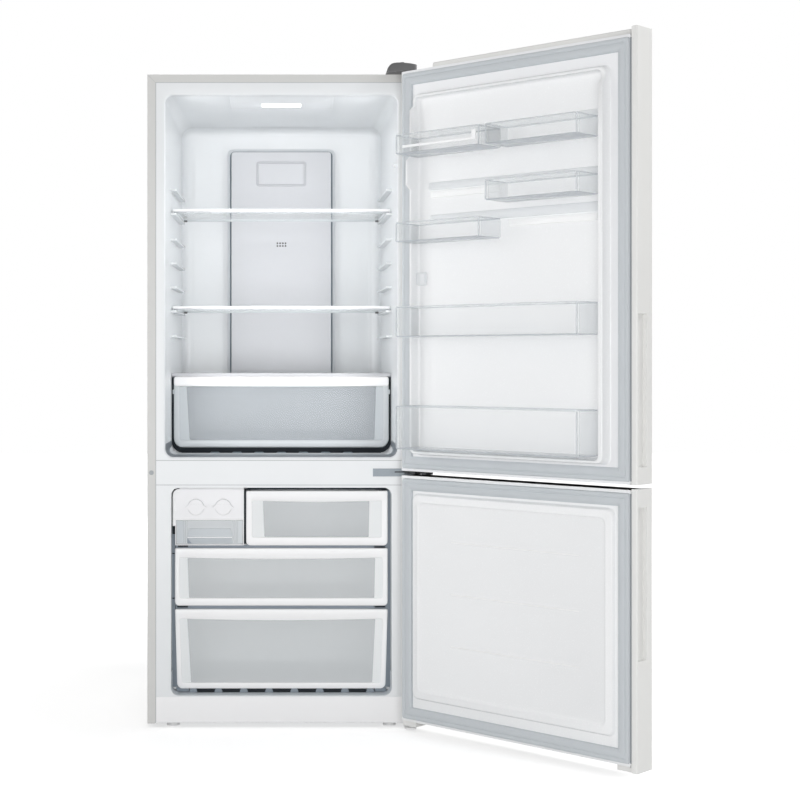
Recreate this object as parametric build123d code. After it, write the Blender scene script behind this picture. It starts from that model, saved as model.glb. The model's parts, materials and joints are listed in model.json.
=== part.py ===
from build123d import *
import math
import os

# Bottom freezer refrigerator, both doors standing open.
# Origin: centre of the cabinet's footprint on the floor. +Z up, front towards -Y, hinges at +X.

# ---- cabinet ----
CABINET_WIDTH = 699.0
CABINET_DEPTH = 640.0
CABINET_BOTTOM = 10.0  # lower edge of the side sheets above the floor
CABINET_TOP = 1703.5
HALF = CABINET_WIDTH / 2
FRONT = -CABINET_DEPTH / 2
BACK = CABINET_DEPTH / 2
SHEET = 1.0  # painted steel sheet
FLANGE = 21.5  # front flange of the steel wrap
OPENING_EDGE = HALF - FLANGE
BACK_SHEET_FRONT = BACK - SHEET
LINER_WALL = 2.5
CORNER_FRONT = 21.0  # liner corner radius at the opening
CORNER_BACK = 34.0
LINER_DRAFT = 10.0  # how much the liner narrows on each side to the back

# ---- freezer compartment ----
FREEZER_SIDE = 61.5  # thickness of the side walls beside it
FREEZER_HALF = HALF - FREEZER_SIDE
FREEZER_FLOOR = 83.0
FREEZER_CEILING = 625.5
FREEZER_DEPTH_LOW = 382.0  # in front of the compressor bay
FREEZER_DEPTH_HIGH = 510.0  # above the compressor bay
FREEZER_STEP = 330.0
FREEZER_DRAFT = 2.0
FREEZER_LOW_BACK = FRONT + FREEZER_DEPTH_LOW
FREEZER_HIGH_BACK = FRONT + FREEZER_DEPTH_HIGH
BAY_WALL = 42.0  # foam between the freezer and the compressor bay
BAY_FRONT = FREEZER_LOW_BACK + LINER_WALL + BAY_WALL
BAY_TOP = FREEZER_STEP - LINER_WALL - BAY_WALL

# ---- fridge compartment ----
FRIDGE_SIDE = 46.5
FRIDGE_HALF = HALF - FRIDGE_SIDE
MULLION_WALL = 79.5  # freezer ceiling up to the fridge floor
FRIDGE_FLOOR = FREEZER_CEILING + MULLION_WALL
ROOF_WALL = 54.5  # fridge ceiling up to the cabinet's top
FRIDGE_CEILING = CABINET_TOP - ROOF_WALL
FRIDGE_DEPTH = 562.0
FRIDGE_BACK = FRONT + FRIDGE_DEPTH
LEDGE_HEIGHTS = [1026.0, 1094.0, 1159.0, 1224.0, 1289.0, 1358.0, 1423.0]
UPPER_SHELF_LEDGE = 5
LOWER_SHELF_LEDGE = 1
LEDGE_REACH = 16.0
LEDGE_THICK = 6.0
LEDGE_FRONT = 162.0  # from the cabinet's front face back to the ledges
LEDGE_LENGTH = 300.0

# ---- base ----
BASE_SHEET = 1.5
BASE_PLATE_TOP = 45.0
BAY_FLOOR = 38.0
BASE_PANEL_GAP = 3.0  # base panel below the freezer's floor
BASE_PANEL_TOP = FREEZER_FLOOR - BASE_PANEL_GAP
BASE_PANEL_BOTTOM = 12.0
BASE_PANEL_THICK = 4.0
BASE_PANEL_ROUND = 1.5
FOOT_INSET = 65.5  # foot's axis in from the cabinet's side
FOOT_X = HALF - FOOT_INSET
FOOT_SETBACK = 35.0
FOOT_Y = FRONT + FOOT_SETBACK
FOOT_STUD_R = 5.0
FOOT_PAD_R = 17.0
FOOT_PAD_HEIGHT = 12.0
FOOT_PAD_BEVEL = 3.0
FOOT_SLEEVE_R = 11.0
ROLLER_INSET = 59.5
ROLLER_X = HALF - ROLLER_INSET
ROLLER_SETBACK = 35.0
ROLLER_Y = BACK - ROLLER_SETBACK
ROLLER_R = 16.5
ROLLER_WIDTH = 20.0
ROLLER_AXLE_R = 3.0
ROLLER_EAR = 2.0  # thickness of each ear; it stands half of this away from the wheel
ROLLER_EAR_HALF = 9.0

# ---- doors ----
DOOR_ANGLE = 135.4  # how far the doors stand open
DOOR_THICK = 65.0
DOOR_GAP = 10.0  # door's inner face to the cabinet's front
DOOR_PLANE = FRONT - DOOR_GAP
DOOR_SHEET = 1.0
DOOR_LINER = 3.0
DOOR_CAP = 12.0  # height of each end cap
STRIP_WIDTH = 15.0  # handle strip along the free edge
STRIP_START = CABINET_WIDTH - STRIP_WIDTH
STRIP_ROUND = 4.0
STRIP_RISE = 2.5  # strip above the piece that it stands beside
DOOR_TOP_DROP = 2.5  # fridge door's top below the cabinet's top
FRIDGE_DOOR_TOP = CABINET_TOP - DOOR_TOP_DROP
DOOR_OVERLAP = 36.0  # freezer door's top above the freezer's ceiling
FREEZER_DOOR_TOP = FREEZER_CEILING + DOOR_OVERLAP
DOOR_SPLIT = 12.0  # between the two doors
FRIDGE_DOOR_BOTTOM = FREEZER_DOOR_TOP + DOOR_SPLIT
FREEZER_DOOR_BOTTOM = 31.0
RECESS_DEPTH = 11.0
RECESS_LENGTH = 350.0
RECESS_NEAR = 4.0  # from the inner face to the recess
RECESS_FAR = 40.0
RECESS_END = 40.0  # recess to the end of its door
GASKET_INSET = 7.0
GASKET_WIDTH = 31.0
GASKET_HEIGHT = 8.0
GASKET_GROOVE = 4.0
GASKET_GROOVE_INSET = 9.0
GASKET_GROOVE_DEPTH = 3.0
DYKE_HEIGHT = 30.0
DYKE_HINGE_SIDE = 50.0
DYKE_FREE_SIDE = 74.0
DYKE_WALL_HINGE = 7.0
DYKE_WALL_FREE = 13.0
DYKE_SLOPE = 4.0
DYKE_CLEAR = 15.0  # dyke to the opening's floor and ceiling
DYKE_SKIN = 2.5
DYKE_ROUND = 16.0
DYKE_LOW_HEIGHT = 17.0  # of its part beside the lamp
DYKE_LOW_LENGTH = 56.0  # that part, down from the ceiling
DYKE_PAD_HEIGHT = 45.0  # raised pad on the hinge side
DYKE_PAD_DROP = 185.0
DYKE_PAD_LENGTH = 61.0
FREEZER_PANEL_HEIGHT = 9.0
FREEZER_PANEL_SLOPE = 4.0
FREEZER_PANEL_HINGE = 2.0  # from the gasket to the panel, on each side
FREEZER_PANEL_FREE = 10.0
FREEZER_PANEL_LOW = 24.0
FREEZER_PANEL_HIGH = 6.5
RAISED_CAP_START = 92.0
RAISED_CAP_HEIGHT = 15.0
CAP_FOOT_LENGTH = 42.0
CAP_FOOT_HEIGHT = 14.0

# ---- mullion and hinges ----
MULLION_BOTTOM_LIP = 7.0  # cover's edge above the freezer's ceiling
MULLION_BOTTOM = FREEZER_CEILING + MULLION_BOTTOM_LIP
MULLION_TOP_LIP = 8.3  # cover's edge below the fridge's floor
MULLION_TOP = FRIDGE_FLOOR - MULLION_TOP_LIP
MULLION_THICK = 1.2
HINGE_EDGE = 12.0  # pin axis in from the door's hinge side
HINGE_X = HALF - HINGE_EDGE
HINGE_BEHIND = 27.0  # pin axis in front of the door's inner face
HINGE_Y = DOOR_PLANE - HINGE_BEHIND
PIN_R = 4.0
PIN_CLEARANCE = 0.06
PIN_REACH = 18.0  # how far each pin enters its door
HINGE_PLATE = 3.0
HINGE_SIDE_GAP = 0.5  # hinge plates inside the cabinet's side
ARM_WIDTH = 31.0
ARM_NOSE = 12.5  # arm beyond the pin axis
ARM_ROUND = 8.0
MIDDLE_PLATE_LENGTH = 110.5
MIDDLE_PLATE_X = HALF - MIDDLE_PLATE_LENGTH
MIDDLE_PLATE_HEIGHT = 20.5
MIDDLE_PLATE_CLEAR = 0.5  # plate above the closed freezer door's gasket
MIDDLE_PLATE_BOTTOM = FREEZER_DOOR_TOP - GASKET_INSET + MIDDLE_PLATE_CLEAR
MIDDLE_PLATE_TOP = MIDDLE_PLATE_BOTTOM + MIDDLE_PLATE_HEIGHT
MIDDLE_ARM_THICK = 4.0
BOTTOM_ARM_TOP = 10.0
BOTTOM_ARM_REACH = 120.0
TOP_HINGE_LENGTH = 90.0
TOP_HINGE_WIDTH = 72.0
TOP_HINGE_INSET = 2.0
COVER_HEIGHT = 23.5
COVER_WALL = 2.0
COVER_GAP = 0.4
SCREW_R = 4.5
SCREW_HEAD = 2.6
SCREW_SHANK_R = 2.5
SCREW_CLEARANCE = 0.1
PLUG_R = 6.0
PLUG_STEM_R = 3.5
PLUG_CLEARANCE = 0.1
PLUG_INSET = 10.5
PLUG_X = PLUG_INSET - HALF
PLUG_Z = (MULLION_BOTTOM + MULLION_TOP) / 2

# ---- door bins: hinge end and free end along the door, bottom, height ----
BIN_DEPTH = 94.0
BIN_WALL = 2.6
BIN_BACK = 3.0
BIN_ROUND = 14.0
BIN_BACK_GAP = 0.4
HALF_BIN_HEIGHT = 49.0
BIN_GAP = 19.0  # between the bins that stand side by side
BIN_HINGE_GAP = 1.0
BIN_HINGE_END = DYKE_HINGE_SIDE + DYKE_WALL_HINGE + BIN_HINGE_GAP
BIN_FREE_GAP = 14.0
BIN_FREE_END = CABINET_WIDTH - DYKE_FREE_SIDE - DYKE_WALL_FREE - BIN_FREE_GAP
BIN_MIDDLE_LEFT = (BIN_HINGE_END + BIN_FREE_END - BIN_GAP) / 2
BIN_MIDDLE_RIGHT = BIN_MIDDLE_LEFT + BIN_GAP
LUG_WIDTH = 12.0
LUG_REACH = 5.5
LUG_HEIGHT = 16.0
LUG_DROP = 12.0  # lug top below the bin's rear top edge
LUG_INSET = 34.0
LUG_CLEARANCE = 0.3
TOP_BINS_DROP = 227.0  # bottoms of the upper bins below the door's top
TOP_BINS_Z = FRIDGE_DOOR_TOP - TOP_BINS_DROP
SECOND_RIGHT_DROP = 134.0
SECOND_RIGHT_BIN_Z = TOP_BINS_Z - SECOND_RIGHT_DROP
SECOND_LEFT_DROP = 220.0
SECOND_LEFT_BIN_Z = TOP_BINS_Z - SECOND_LEFT_DROP
THIRD_BIN_DROP = 458.0
THIRD_BIN_Z = TOP_BINS_Z - THIRD_BIN_DROP
THIRD_BIN_HEIGHT = 76.0
BOTTOM_BIN_RISE = 30.0
BOTTOM_BIN_Z = FRIDGE_FLOOR + BOTTOM_BIN_RISE
BOTTOM_BIN_HEIGHT = 108.0

# ---- air duct and lamp ----
DUCT_HALF = 147.0
DUCT_TOP_GAP = 77.0
DUCT_TOP = FRIDGE_CEILING - DUCT_TOP_GAP
DUCT_FOOT = 8.0
DUCT_THICK = 30.0
DUCT_WALL = 2.5
DUCT_ROUND = 9.0
LABEL_HALF = 73.5
LABEL_HEIGHT = 74.0
LABEL_DROP = 65.0
LABEL_Z = DUCT_TOP - LABEL_DROP
LABEL_FRAME = 2.2
LABEL_ROUND = 4.0
LABEL_PROUD = 0.8
GRILLE_DROP = 273.0
GRILLE_Z = DUCT_TOP - GRILLE_DROP
GRILLE_PITCH = 8.0
GRILLE_COLUMNS = 4
GRILLE_HOLE_R = 2.2
LAMP_HALF = 137.0
LAMP_FRONT = 8.0
LAMP_DEPTH = 162.0
LAMP_THICK = 9.0
LAMP_ROUND = 8.0
LAMP_ROOF = 3.0
LENS_HALF = 54.0
LENS_NEAR = 81.0
LENS_DEPTH = 68.0
LENS_PROUD = 1.5
SWITCH_DROP = 179.0
SWITCH_Z = FRIDGE_CEILING - SWITCH_DROP
SWITCH_BACK = 47.0
SWITCH_R = 4.0
SWITCH_BORE_GAP = 0.08
SWITCH_OUT = 6.0
SWITCH_STEM = 14.0

# ---- shelves and drawers ----
SIDE_CLEARANCE = 4.0
SHELF_FRONT = 170.0  # from the cabinet's front face back to the shelf trim
SHELF_BACK_GAP = 82.0  # shelf to the air duct's face
SHELF_DEPTH = FRIDGE_DEPTH - DUCT_THICK - SHELF_FRONT - SHELF_BACK_GAP
SHELF_THICK = 11.0
SHELF_GLASS = 4.0
SHELF_RIM = 12.0
SHELF_TOPS = {"upper_shelf": LEDGE_HEIGHTS[UPPER_SHELF_LEDGE] + SHELF_THICK,
              "lower_shelf": LEDGE_HEIGHTS[LOWER_SHELF_LEDGE] + SHELF_THICK}
GLASS_FIT = 0.2
RUN_GAP = 0.5
CRISPER_FRONT = 187.0
CRISPER_SIDE_GAP = 10.0
CRISPER_HALF = FRIDGE_HALF - CRISPER_SIDE_GAP
CRISPER_RISE = 14.0
CRISPER_BOTTOM = FRIDGE_FLOOR + CRISPER_RISE
CRISPER_HEIGHT = 195.0
CRISPER_BACK_GAP = 45.0  # crisper cover to the air duct's face
CRISPER_DEPTH = FRIDGE_DEPTH - DUCT_THICK - CRISPER_FRONT - CRISPER_BACK_GAP
CRISPER_TUB_SHORT = 30.0  # tub shorter than its cover
CRISPER_SHOULDER = 7.0
CRISPER_TUB_DROP = 14.0
CRISPER_COVER_HEIGHT = 8.5
COVER_EDGE_GAP = 1.0
COVER_RAIL = 18.0
DRAWER_WALL = 3.0
DRAWER_FRONT_THICK = 9.0
DRAWER_CORNER = 11.0
FREEZER_FRONT = 35.0
DRAWER_SIDE_GAP = 8.0
FREEZER_DRAWER_HALF = FREEZER_HALF - DRAWER_SIDE_GAP
DRAWER_BACK_GAP = 22.0
FREEZER_DRAWER_DEPTH = FREEZER_DEPTH_LOW - FREEZER_FRONT - DRAWER_BACK_GAP
DRAWER_SHOULDER = 3.0
DRAWER_TUB_DROP = 16.0
TOP_DRAWER_GAP = 11.0  # top drawer below the ceiling
TOP_DRAWER_HEIGHT = 140.5
TOP_DRAWER_Z = FREEZER_CEILING - TOP_DRAWER_GAP - TOP_DRAWER_HEIGHT
MIDDLE_DRAWER_GAP = 11.5
MIDDLE_DRAWER_HEIGHT = 144.5
MIDDLE_DRAWER_Z = TOP_DRAWER_Z - MIDDLE_DRAWER_GAP - MIDDLE_DRAWER_HEIGHT
BOTTOM_DRAWER_RISE = 13.5
BOTTOM_DRAWER_Z = FREEZER_FLOOR + BOTTOM_DRAWER_RISE
BOTTOM_DRAWER_GAP = 15.0
BOTTOM_DRAWER_HEIGHT = MIDDLE_DRAWER_Z - BOTTOM_DRAWER_GAP - BOTTOM_DRAWER_Z
RAIL_REACH = 6.5
RAIL_HEIGHT = 5.0

# ---- ice maker ----
ICE_SIDE_GAP = 9.0
ICE_LEFT = ICE_SIDE_GAP - FREEZER_HALF
ICE_WIDTH = 180.5
ICE_RIGHT = ICE_LEFT + ICE_WIDTH
ICE_DRAWER_GAP = 6.0
TOP_DRAWER_LEFT = ICE_RIGHT + ICE_DRAWER_GAP
ICE_BIN_HEIGHT = 63.0
ICE_BIN_LIP_GAP = 2.0
ICE_BIN_SHOULDER = 1.0
ICE_BIN_TUB_DROP = 8.0
ICE_BIN_DEPTH = 225.0
ICE_HOUSING_DEPTH = 240.0
ICE_HOUSING_WALL = 2.5
ICE_FACE_WALL = 3.5
ICE_BEVEL = 3.0  # the housing's front leans back by this at its top
ICE_BEVEL_HEIGHT = 14.5
ICE_SHELF_REACH = 9.0
KNOB_R = 21.0
KNOB_THICK = 11.0
KNOB_ROUND = 2.0
KNOB_GAP = 0.4
KNOB_GRIP = 5.0  # from the rim to where the grip's ears start
KNOB_GRIP_HALF = 8.5
KNOB_EAR = 27.5  # reach of the grip's pointed ears
KNOB_DROP = 53.5  # knob axis below the freezer's ceiling
KNOB_Z = FREEZER_CEILING - KNOB_DROP
KNOB_INSET = 54.5
KNOB_PITCH = 72.0
KNOB_X = [ICE_LEFT + KNOB_INSET, ICE_LEFT + KNOB_INSET + KNOB_PITCH]
TRAY_SPINDLE_R = 5.0
TRAY_TAIL_R = 4.0
TRAY_HALF = 27.0
TRAY_LENGTH = 210.0
TRAY_HEIGHT = 20.0
TRAY_WALL = 2.0
TRAY_ROWS = 6
TRAY_GAP = 5.0  # tray behind the housing's face
CELL_GAP = 3.0

# ---- freezer machinery ----
EVAPORATOR_COVER = 3.0
EVAPORATOR_GAP = 90.0  # cover in front of the freezer's back wall
EVAPORATOR_FRONT = FREEZER_HIGH_BACK - EVAPORATOR_GAP
EVAPORATOR_SIDE_GAP = 48.0
EVAPORATOR_HALF = FREEZER_HALF - EVAPORATOR_SIDE_GAP
EVAPORATOR_RISE = 20.0
EVAPORATOR_AIR = 8.0
COIL_R = 4.0
COIL_LEVELS = 4
COIL_PITCH = 30.0
COIL_SPREAD = 18.0
FIN_PITCH = 20.0
FIN_THICK = 0.8
HEATER_R = 5.0
HEATER_SHORT = 20.0
HEATER_GAP = 0.3
FAN_R = 48.0
FAN_BLADES = 5
FAN_DROP = 65.5
FAN_Z = FREEZER_CEILING - FAN_DROP
FAN_HUB_R = 13.0
FAN_SHAFT_R = 2.5
FAN_CLEAR = 3.0
VANE_PITCH = 12.0
VANE_ROWS = 5
VANE_HALF = 70.0
VANE_X = 170.0
COMPRESSOR_R = 62.0
COMPRESSOR_HEIGHT = 168.0
COMPRESSOR_X = -150.0
COMPRESSOR_Y = (BAY_FRONT + BACK_SHEET_FRONT) / 2
MOUNT_X = 66.0
MOUNT_Y = 50.0
MOUNT_HEIGHT = 14.0
MOUNT_R = 11.0
MOUNT_NECK_R = 4.0
MOUNT_NECK = 7.0
TRAY_PAN_HALF_X = 85.0
TRAY_PAN_HALF_Y = 70.0
TRAY_PAN_HEIGHT = 26.0
TRAY_PAN_ROUND = 14.0
TUBE_R = 3.0
WIRE_R = 1.2
CONDENSER_LEFT = 10.0
CONDENSER_RIGHT = 230.0
CONDENSER_PITCH = 30.0
CONDENSER_PASSES = 7
CONDENSER_WIRES = 9
VENT_PITCH_X = 60.0
VENT_PITCH_Z = 22.0
VENT_HALF = 22.0
VENT_SLOT_HALF = 3.5
VENT_ROWS = 7
VENT_MARGIN = 6.0
INLET_INSET = 44.5
INLET_X = HALF - INLET_INSET
INLET_Z = 85.0
INLET_HALF = 15.0
INLET_HALF_HEIGHT = 12.0

HINGE_AXIS = Axis((HINGE_X, HINGE_Y, 0), (0, 0, 1))

os.makedirs("parts", exist_ok=True)


def save(name, shape):
    export_step(shape, os.path.join("parts", name + ".step"))


def block(x0, x1, y0, y1, z0, z1):
    return Pos((x0 + x1) / 2, (y0 + y1) / 2, (z0 + z1) / 2) * Box(x1 - x0, y1 - y0, z1 - z0)


def upright(x, y, z0, z1, radius):
    return Pos(x, y, (z0 + z1) / 2) * Cylinder(radius, z1 - z0)


def along_x(x0, x1, y, z, radius):
    return Pos((x0 + x1) / 2, y, z) * Rot(0, 90, 0) * Cylinder(radius, x1 - x0)


def along_y(x, y0, y1, z, radius):
    return Pos(x, (y0 + y1) / 2, z) * Rot(90, 0, 0) * Cylinder(radius, y1 - y0)


def facing(x0, x1, z0, z1, radius, y):
    """A rounded rectangle standing in the plane at y, seen from the front."""
    plane = Plane(origin=((x0 + x1) / 2, y, (z0 + z1) / 2), x_dir=(1, 0, 0), z_dir=(0, -1, 0))
    return plane * RectangleRounded(x1 - x0, z1 - z0, radius)


def slab(x0, x1, z0, z1, radius, y0, y1):
    """A rounded plate facing the front, from y0 back to y1."""
    return extrude(facing(x0, x1, z0, z1, radius, y1), y1 - y0)


def cavity(half, floor, ceiling, back, draft, grow):
    """The hollow of a moulded liner, grown by its wall when grow is the wall."""
    front_face = facing(-half - grow, half + grow, floor - grow, ceiling + grow,
                        CORNER_FRONT + grow, FRONT)
    back_face = facing(-half + draft - grow, half - draft + grow, floor + draft / 2 - grow,
                       ceiling - draft / 2 + grow, CORNER_BACK + grow, back + grow)
    return loft([front_face, back_face], ruled=True)


def group(shapes):
    return Compound(children=list(shapes))


# ---- cabinet shell ----
def fridge_form(grow):
    return cavity(FRIDGE_HALF, FRIDGE_FLOOR, FRIDGE_CEILING, FRIDGE_BACK, LINER_DRAFT, grow)


def freezer_form(grow):
    low = cavity(FREEZER_HALF, FREEZER_FLOOR, FREEZER_CEILING, FREEZER_LOW_BACK,
                 FREEZER_DRAFT, grow)
    half = FREEZER_HALF - FREEZER_DRAFT + grow
    start = FREEZER_LOW_BACK - CORNER_BACK
    high = slab(-half, half, FREEZER_STEP - grow, FREEZER_CEILING - FREEZER_DRAFT / 2 + grow,
                CORNER_FRONT, start, FREEZER_HIGH_BACK + grow)
    return low + high


def outer_wrap():
    inner_half = HALF - SHEET
    shell = block(-HALF, HALF, FRONT, BACK, CABINET_BOTTOM, CABINET_TOP)
    shell -= block(-inner_half, inner_half, FRONT + SHEET, BACK + 1, CABINET_BOTTOM - 1,
                   CABINET_TOP - SHEET)
    shell -= block(-OPENING_EDGE, OPENING_EDGE, FRONT - 1, FRONT + 2 * SHEET,
                   CABINET_BOTTOM - 1, CABINET_TOP - FLANGE)
    shell -= along_y(PLUG_X, FRONT - 1, FRONT + 3 * SHEET, PLUG_Z,
                     PLUG_STEM_R + PLUG_CLEARANCE)
    return shell


def wall_half(y):
    """Half the fridge liner's width at a depth y."""
    return FRIDGE_HALF - LINER_DRAFT * (y - FRONT) / FRIDGE_DEPTH


def ledge(side, height):
    """A rib on a side wall, rooted halfway into the liner, that a shelf rests on."""
    y0 = FRONT + LEDGE_FRONT
    y1 = y0 + LEDGE_LENGTH
    root = LINER_WALL / 2
    points = [(side * (wall_half(y0) + root), y0), (side * (wall_half(y0) - LEDGE_REACH), y0),
              (side * (wall_half(y1) - LEDGE_REACH), y1), (side * (wall_half(y1) + root), y1)]
    outline = make_face(Polyline(points, close=True))
    return extrude(Pos(0, 0, height - LEDGE_THICK) * outline, LEDGE_THICK, dir=(0, 0, 1))


def crisper_runner(side):
    """A rib along the wall's foot that the crisper's floor glides on."""
    y0 = FRONT + CRISPER_FRONT + DRAWER_FRONT_THICK
    y1 = FRONT + CRISPER_FRONT + CRISPER_DEPTH - CRISPER_TUB_SHORT
    inner = CRISPER_HALF - LEDGE_REACH
    outer = CRISPER_HALF
    x0, x1 = sorted((side * inner, side * outer))
    return block(x0, x1, y0, y1, FRIDGE_FLOOR - 1, CRISPER_BOTTOM - RUN_GAP)


def fridge_liner():
    shell = fridge_form(LINER_WALL)
    shell += block(-OPENING_EDGE, OPENING_EDGE, FRONT, FRONT + LINER_WALL, MULLION_TOP,
                   CABINET_TOP - FLANGE)
    y = FRONT + SWITCH_BACK
    wall = wall_half(y)
    shell -= along_x(wall - 1, wall + LINER_WALL + 1, y, SWITCH_Z, SWITCH_R + SWITCH_BORE_GAP)
    hollow = fridge_form(0)
    ribs = [ledge(side, height) for side in (-1, 1) for height in LEDGE_HEIGHTS]
    ribs += [crisper_runner(side) for side in (-1, 1)]
    for rib in ribs:
        hollow -= rib
    return shell - hollow


def freezer_rail(side, height):
    x0, x1 = sorted((side * (FREEZER_HALF + 1), side * (FREEZER_DRAWER_HALF - RAIL_REACH)))
    return block(x0, x1, FRONT + FREEZER_FRONT + DRAWER_FRONT_THICK + 4,
                 FREEZER_LOW_BACK - CORNER_BACK, height - RAIL_HEIGHT, height)


def freezer_liner():
    shell = freezer_form(LINER_WALL)
    shell += block(-OPENING_EDGE, OPENING_EDGE, FRONT, FRONT + LINER_WALL, BASE_PANEL_TOP,
                   MULLION_BOTTOM)
    hollow = freezer_form(0)
    for side in (-1, 1):
        for floor in (MIDDLE_DRAWER_Z, BOTTOM_DRAWER_Z):
            hollow -= freezer_rail(side, floor - RUN_GAP)
    hollow -= freezer_rail(1, TOP_DRAWER_Z - RUN_GAP)
    return shell - hollow


def mullion_cover():
    return block(-OPENING_EDGE, OPENING_EDGE, FRONT, FRONT + MULLION_THICK, MULLION_BOTTOM,
                 MULLION_TOP)


def base_pan():
    half = HALF - SHEET
    riser_top = BAY_TOP + BASE_SHEET
    pan = block(-half, half, FRONT + BASE_PANEL_THICK, BAY_FRONT, BASE_PLATE_TOP - BASE_SHEET,
                BASE_PLATE_TOP)
    pan += block(-half, half, BAY_FRONT - BASE_SHEET, BAY_FRONT, BAY_FLOOR - BASE_SHEET,
                 riser_top)
    pan += block(-half, half, BAY_FRONT - BASE_SHEET, BACK_SHEET_FRONT, BAY_TOP, riser_top)
    pan += block(-half, half, BAY_FRONT - BASE_SHEET, BACK_SHEET_FRONT, BAY_FLOOR - BASE_SHEET,
                 BAY_FLOOR)
    for side in (-1, 1):
        pan += upright(side * FOOT_X, FOOT_Y, FOOT_PAD_HEIGHT + 6, BASE_PLATE_TOP - BASE_SHEET,
                       FOOT_SLEEVE_R)
        pan -= upright(side * FOOT_X, FOOT_Y, FOOT_PAD_HEIGHT, BASE_PLATE_TOP + 1,
                       FOOT_STUD_R + PIN_CLEARANCE)
        for ear in (-1, 1):
            x = side * ROLLER_X + ear * (ROLLER_WIDTH / 2 + ROLLER_EAR)
            pan += block(x - ROLLER_EAR / 2, x + ROLLER_EAR / 2, ROLLER_Y - ROLLER_EAR_HALF,
                         ROLLER_Y + ROLLER_EAR_HALF, ROLLER_R - ROLLER_AXLE_R - ROLLER_EAR,
                         BAY_FLOOR - BASE_SHEET)
        axle_reach = ROLLER_WIDTH / 2 + 2 * ROLLER_EAR
        pan += along_x(side * ROLLER_X - axle_reach, side * ROLLER_X + axle_reach, ROLLER_Y,
                       ROLLER_R, ROLLER_AXLE_R)
    return pan


def cabinet_foam():
    half = HALF - SHEET
    foam = block(-half, half, FRONT + LINER_WALL, BACK_SHEET_FRONT, BASE_PLATE_TOP,
                 CABINET_TOP - SHEET)
    foam -= block(-half - 1, half + 1, BAY_FRONT - BASE_SHEET, BACK, BASE_PLATE_TOP - 1,
                  BAY_TOP + BASE_SHEET)
    foam -= fridge_form(LINER_WALL)
    foam -= freezer_form(LINER_WALL)
    foam -= along_x(FRIDGE_HALF, HALF - 8, FRONT + SWITCH_BACK, SWITCH_Z, SWITCH_R + SWITCH_OUT)
    foam -= block(-OPENING_EDGE - 1, OPENING_EDGE + 1, FRONT, FRONT + BASE_PANEL_THICK,
                  BASE_PANEL_BOTTOM, BASE_PANEL_TOP)
    foam -= along_y(PLUG_X, FRONT, FRONT + SHEET + 6, PLUG_Z, PLUG_STEM_R + PLUG_CLEARANCE)
    return foam


def back_panel():
    half = HALF - SHEET
    return block(-half, half, BACK_SHEET_FRONT, BACK, BAY_TOP + BASE_SHEET, CABINET_TOP - SHEET)


def compressor_cover():
    half = HALF - SHEET
    panel = block(-half, half, BACK_SHEET_FRONT, BACK, BAY_FLOOR - BASE_SHEET,
                  BAY_TOP + BASE_SHEET)
    middle = (BAY_FLOOR + BAY_TOP) / 2
    columns = int((INLET_X - INLET_HALF - VENT_HALF - VENT_MARGIN) / VENT_PITCH_X)
    for column in range(-columns, columns + 1):
        for row in range(VENT_ROWS):
            x = column * VENT_PITCH_X
            z = middle + (row - (VENT_ROWS - 1) / 2) * VENT_PITCH_Z
            panel -= slab(x - VENT_HALF, x + VENT_HALF, z - VENT_SLOT_HALF, z + VENT_SLOT_HALF,
                          0.97 * VENT_SLOT_HALF, BACK_SHEET_FRONT - 1, BACK + 1)
    return panel - block(INLET_X - INLET_HALF, INLET_X + INLET_HALF, BACK_SHEET_FRONT - 1,
                         BACK + 1, INLET_Z - INLET_HALF_HEIGHT, INLET_Z + INLET_HALF_HEIGHT)


def base_panel():
    panel = block(-OPENING_EDGE, OPENING_EDGE, FRONT, FRONT + BASE_PANEL_THICK,
                  BASE_PANEL_BOTTOM, BASE_PANEL_TOP)
    return fillet(panel.edges().filter_by(Axis.X).group_by(Axis.Y)[0],
                  BASE_PANEL_ROUND)


def hole_plug():
    cap = along_y(PLUG_X, FRONT - SHEET, FRONT, PLUG_Z, PLUG_R)
    stem = along_y(PLUG_X, FRONT, FRONT + SHEET + 4, PLUG_Z, PLUG_STEM_R)
    return chamfer(cap.edges().group_by(Axis.Y)[0], 0.4) + stem


# ---- hinges ----
def pin(z0, z1):
    return upright(HINGE_X, HINGE_Y, z0, z1, PIN_R)


def arm(y_back, z0, z1):
    x0 = HALF - ARM_WIDTH
    plate = block(x0, HALF - HINGE_SIDE_GAP, HINGE_Y - ARM_NOSE, y_back, z0, z1)
    return fillet(plate.edges().filter_by(Axis.Z).group_by(Axis.Y)[0], ARM_ROUND)


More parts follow.
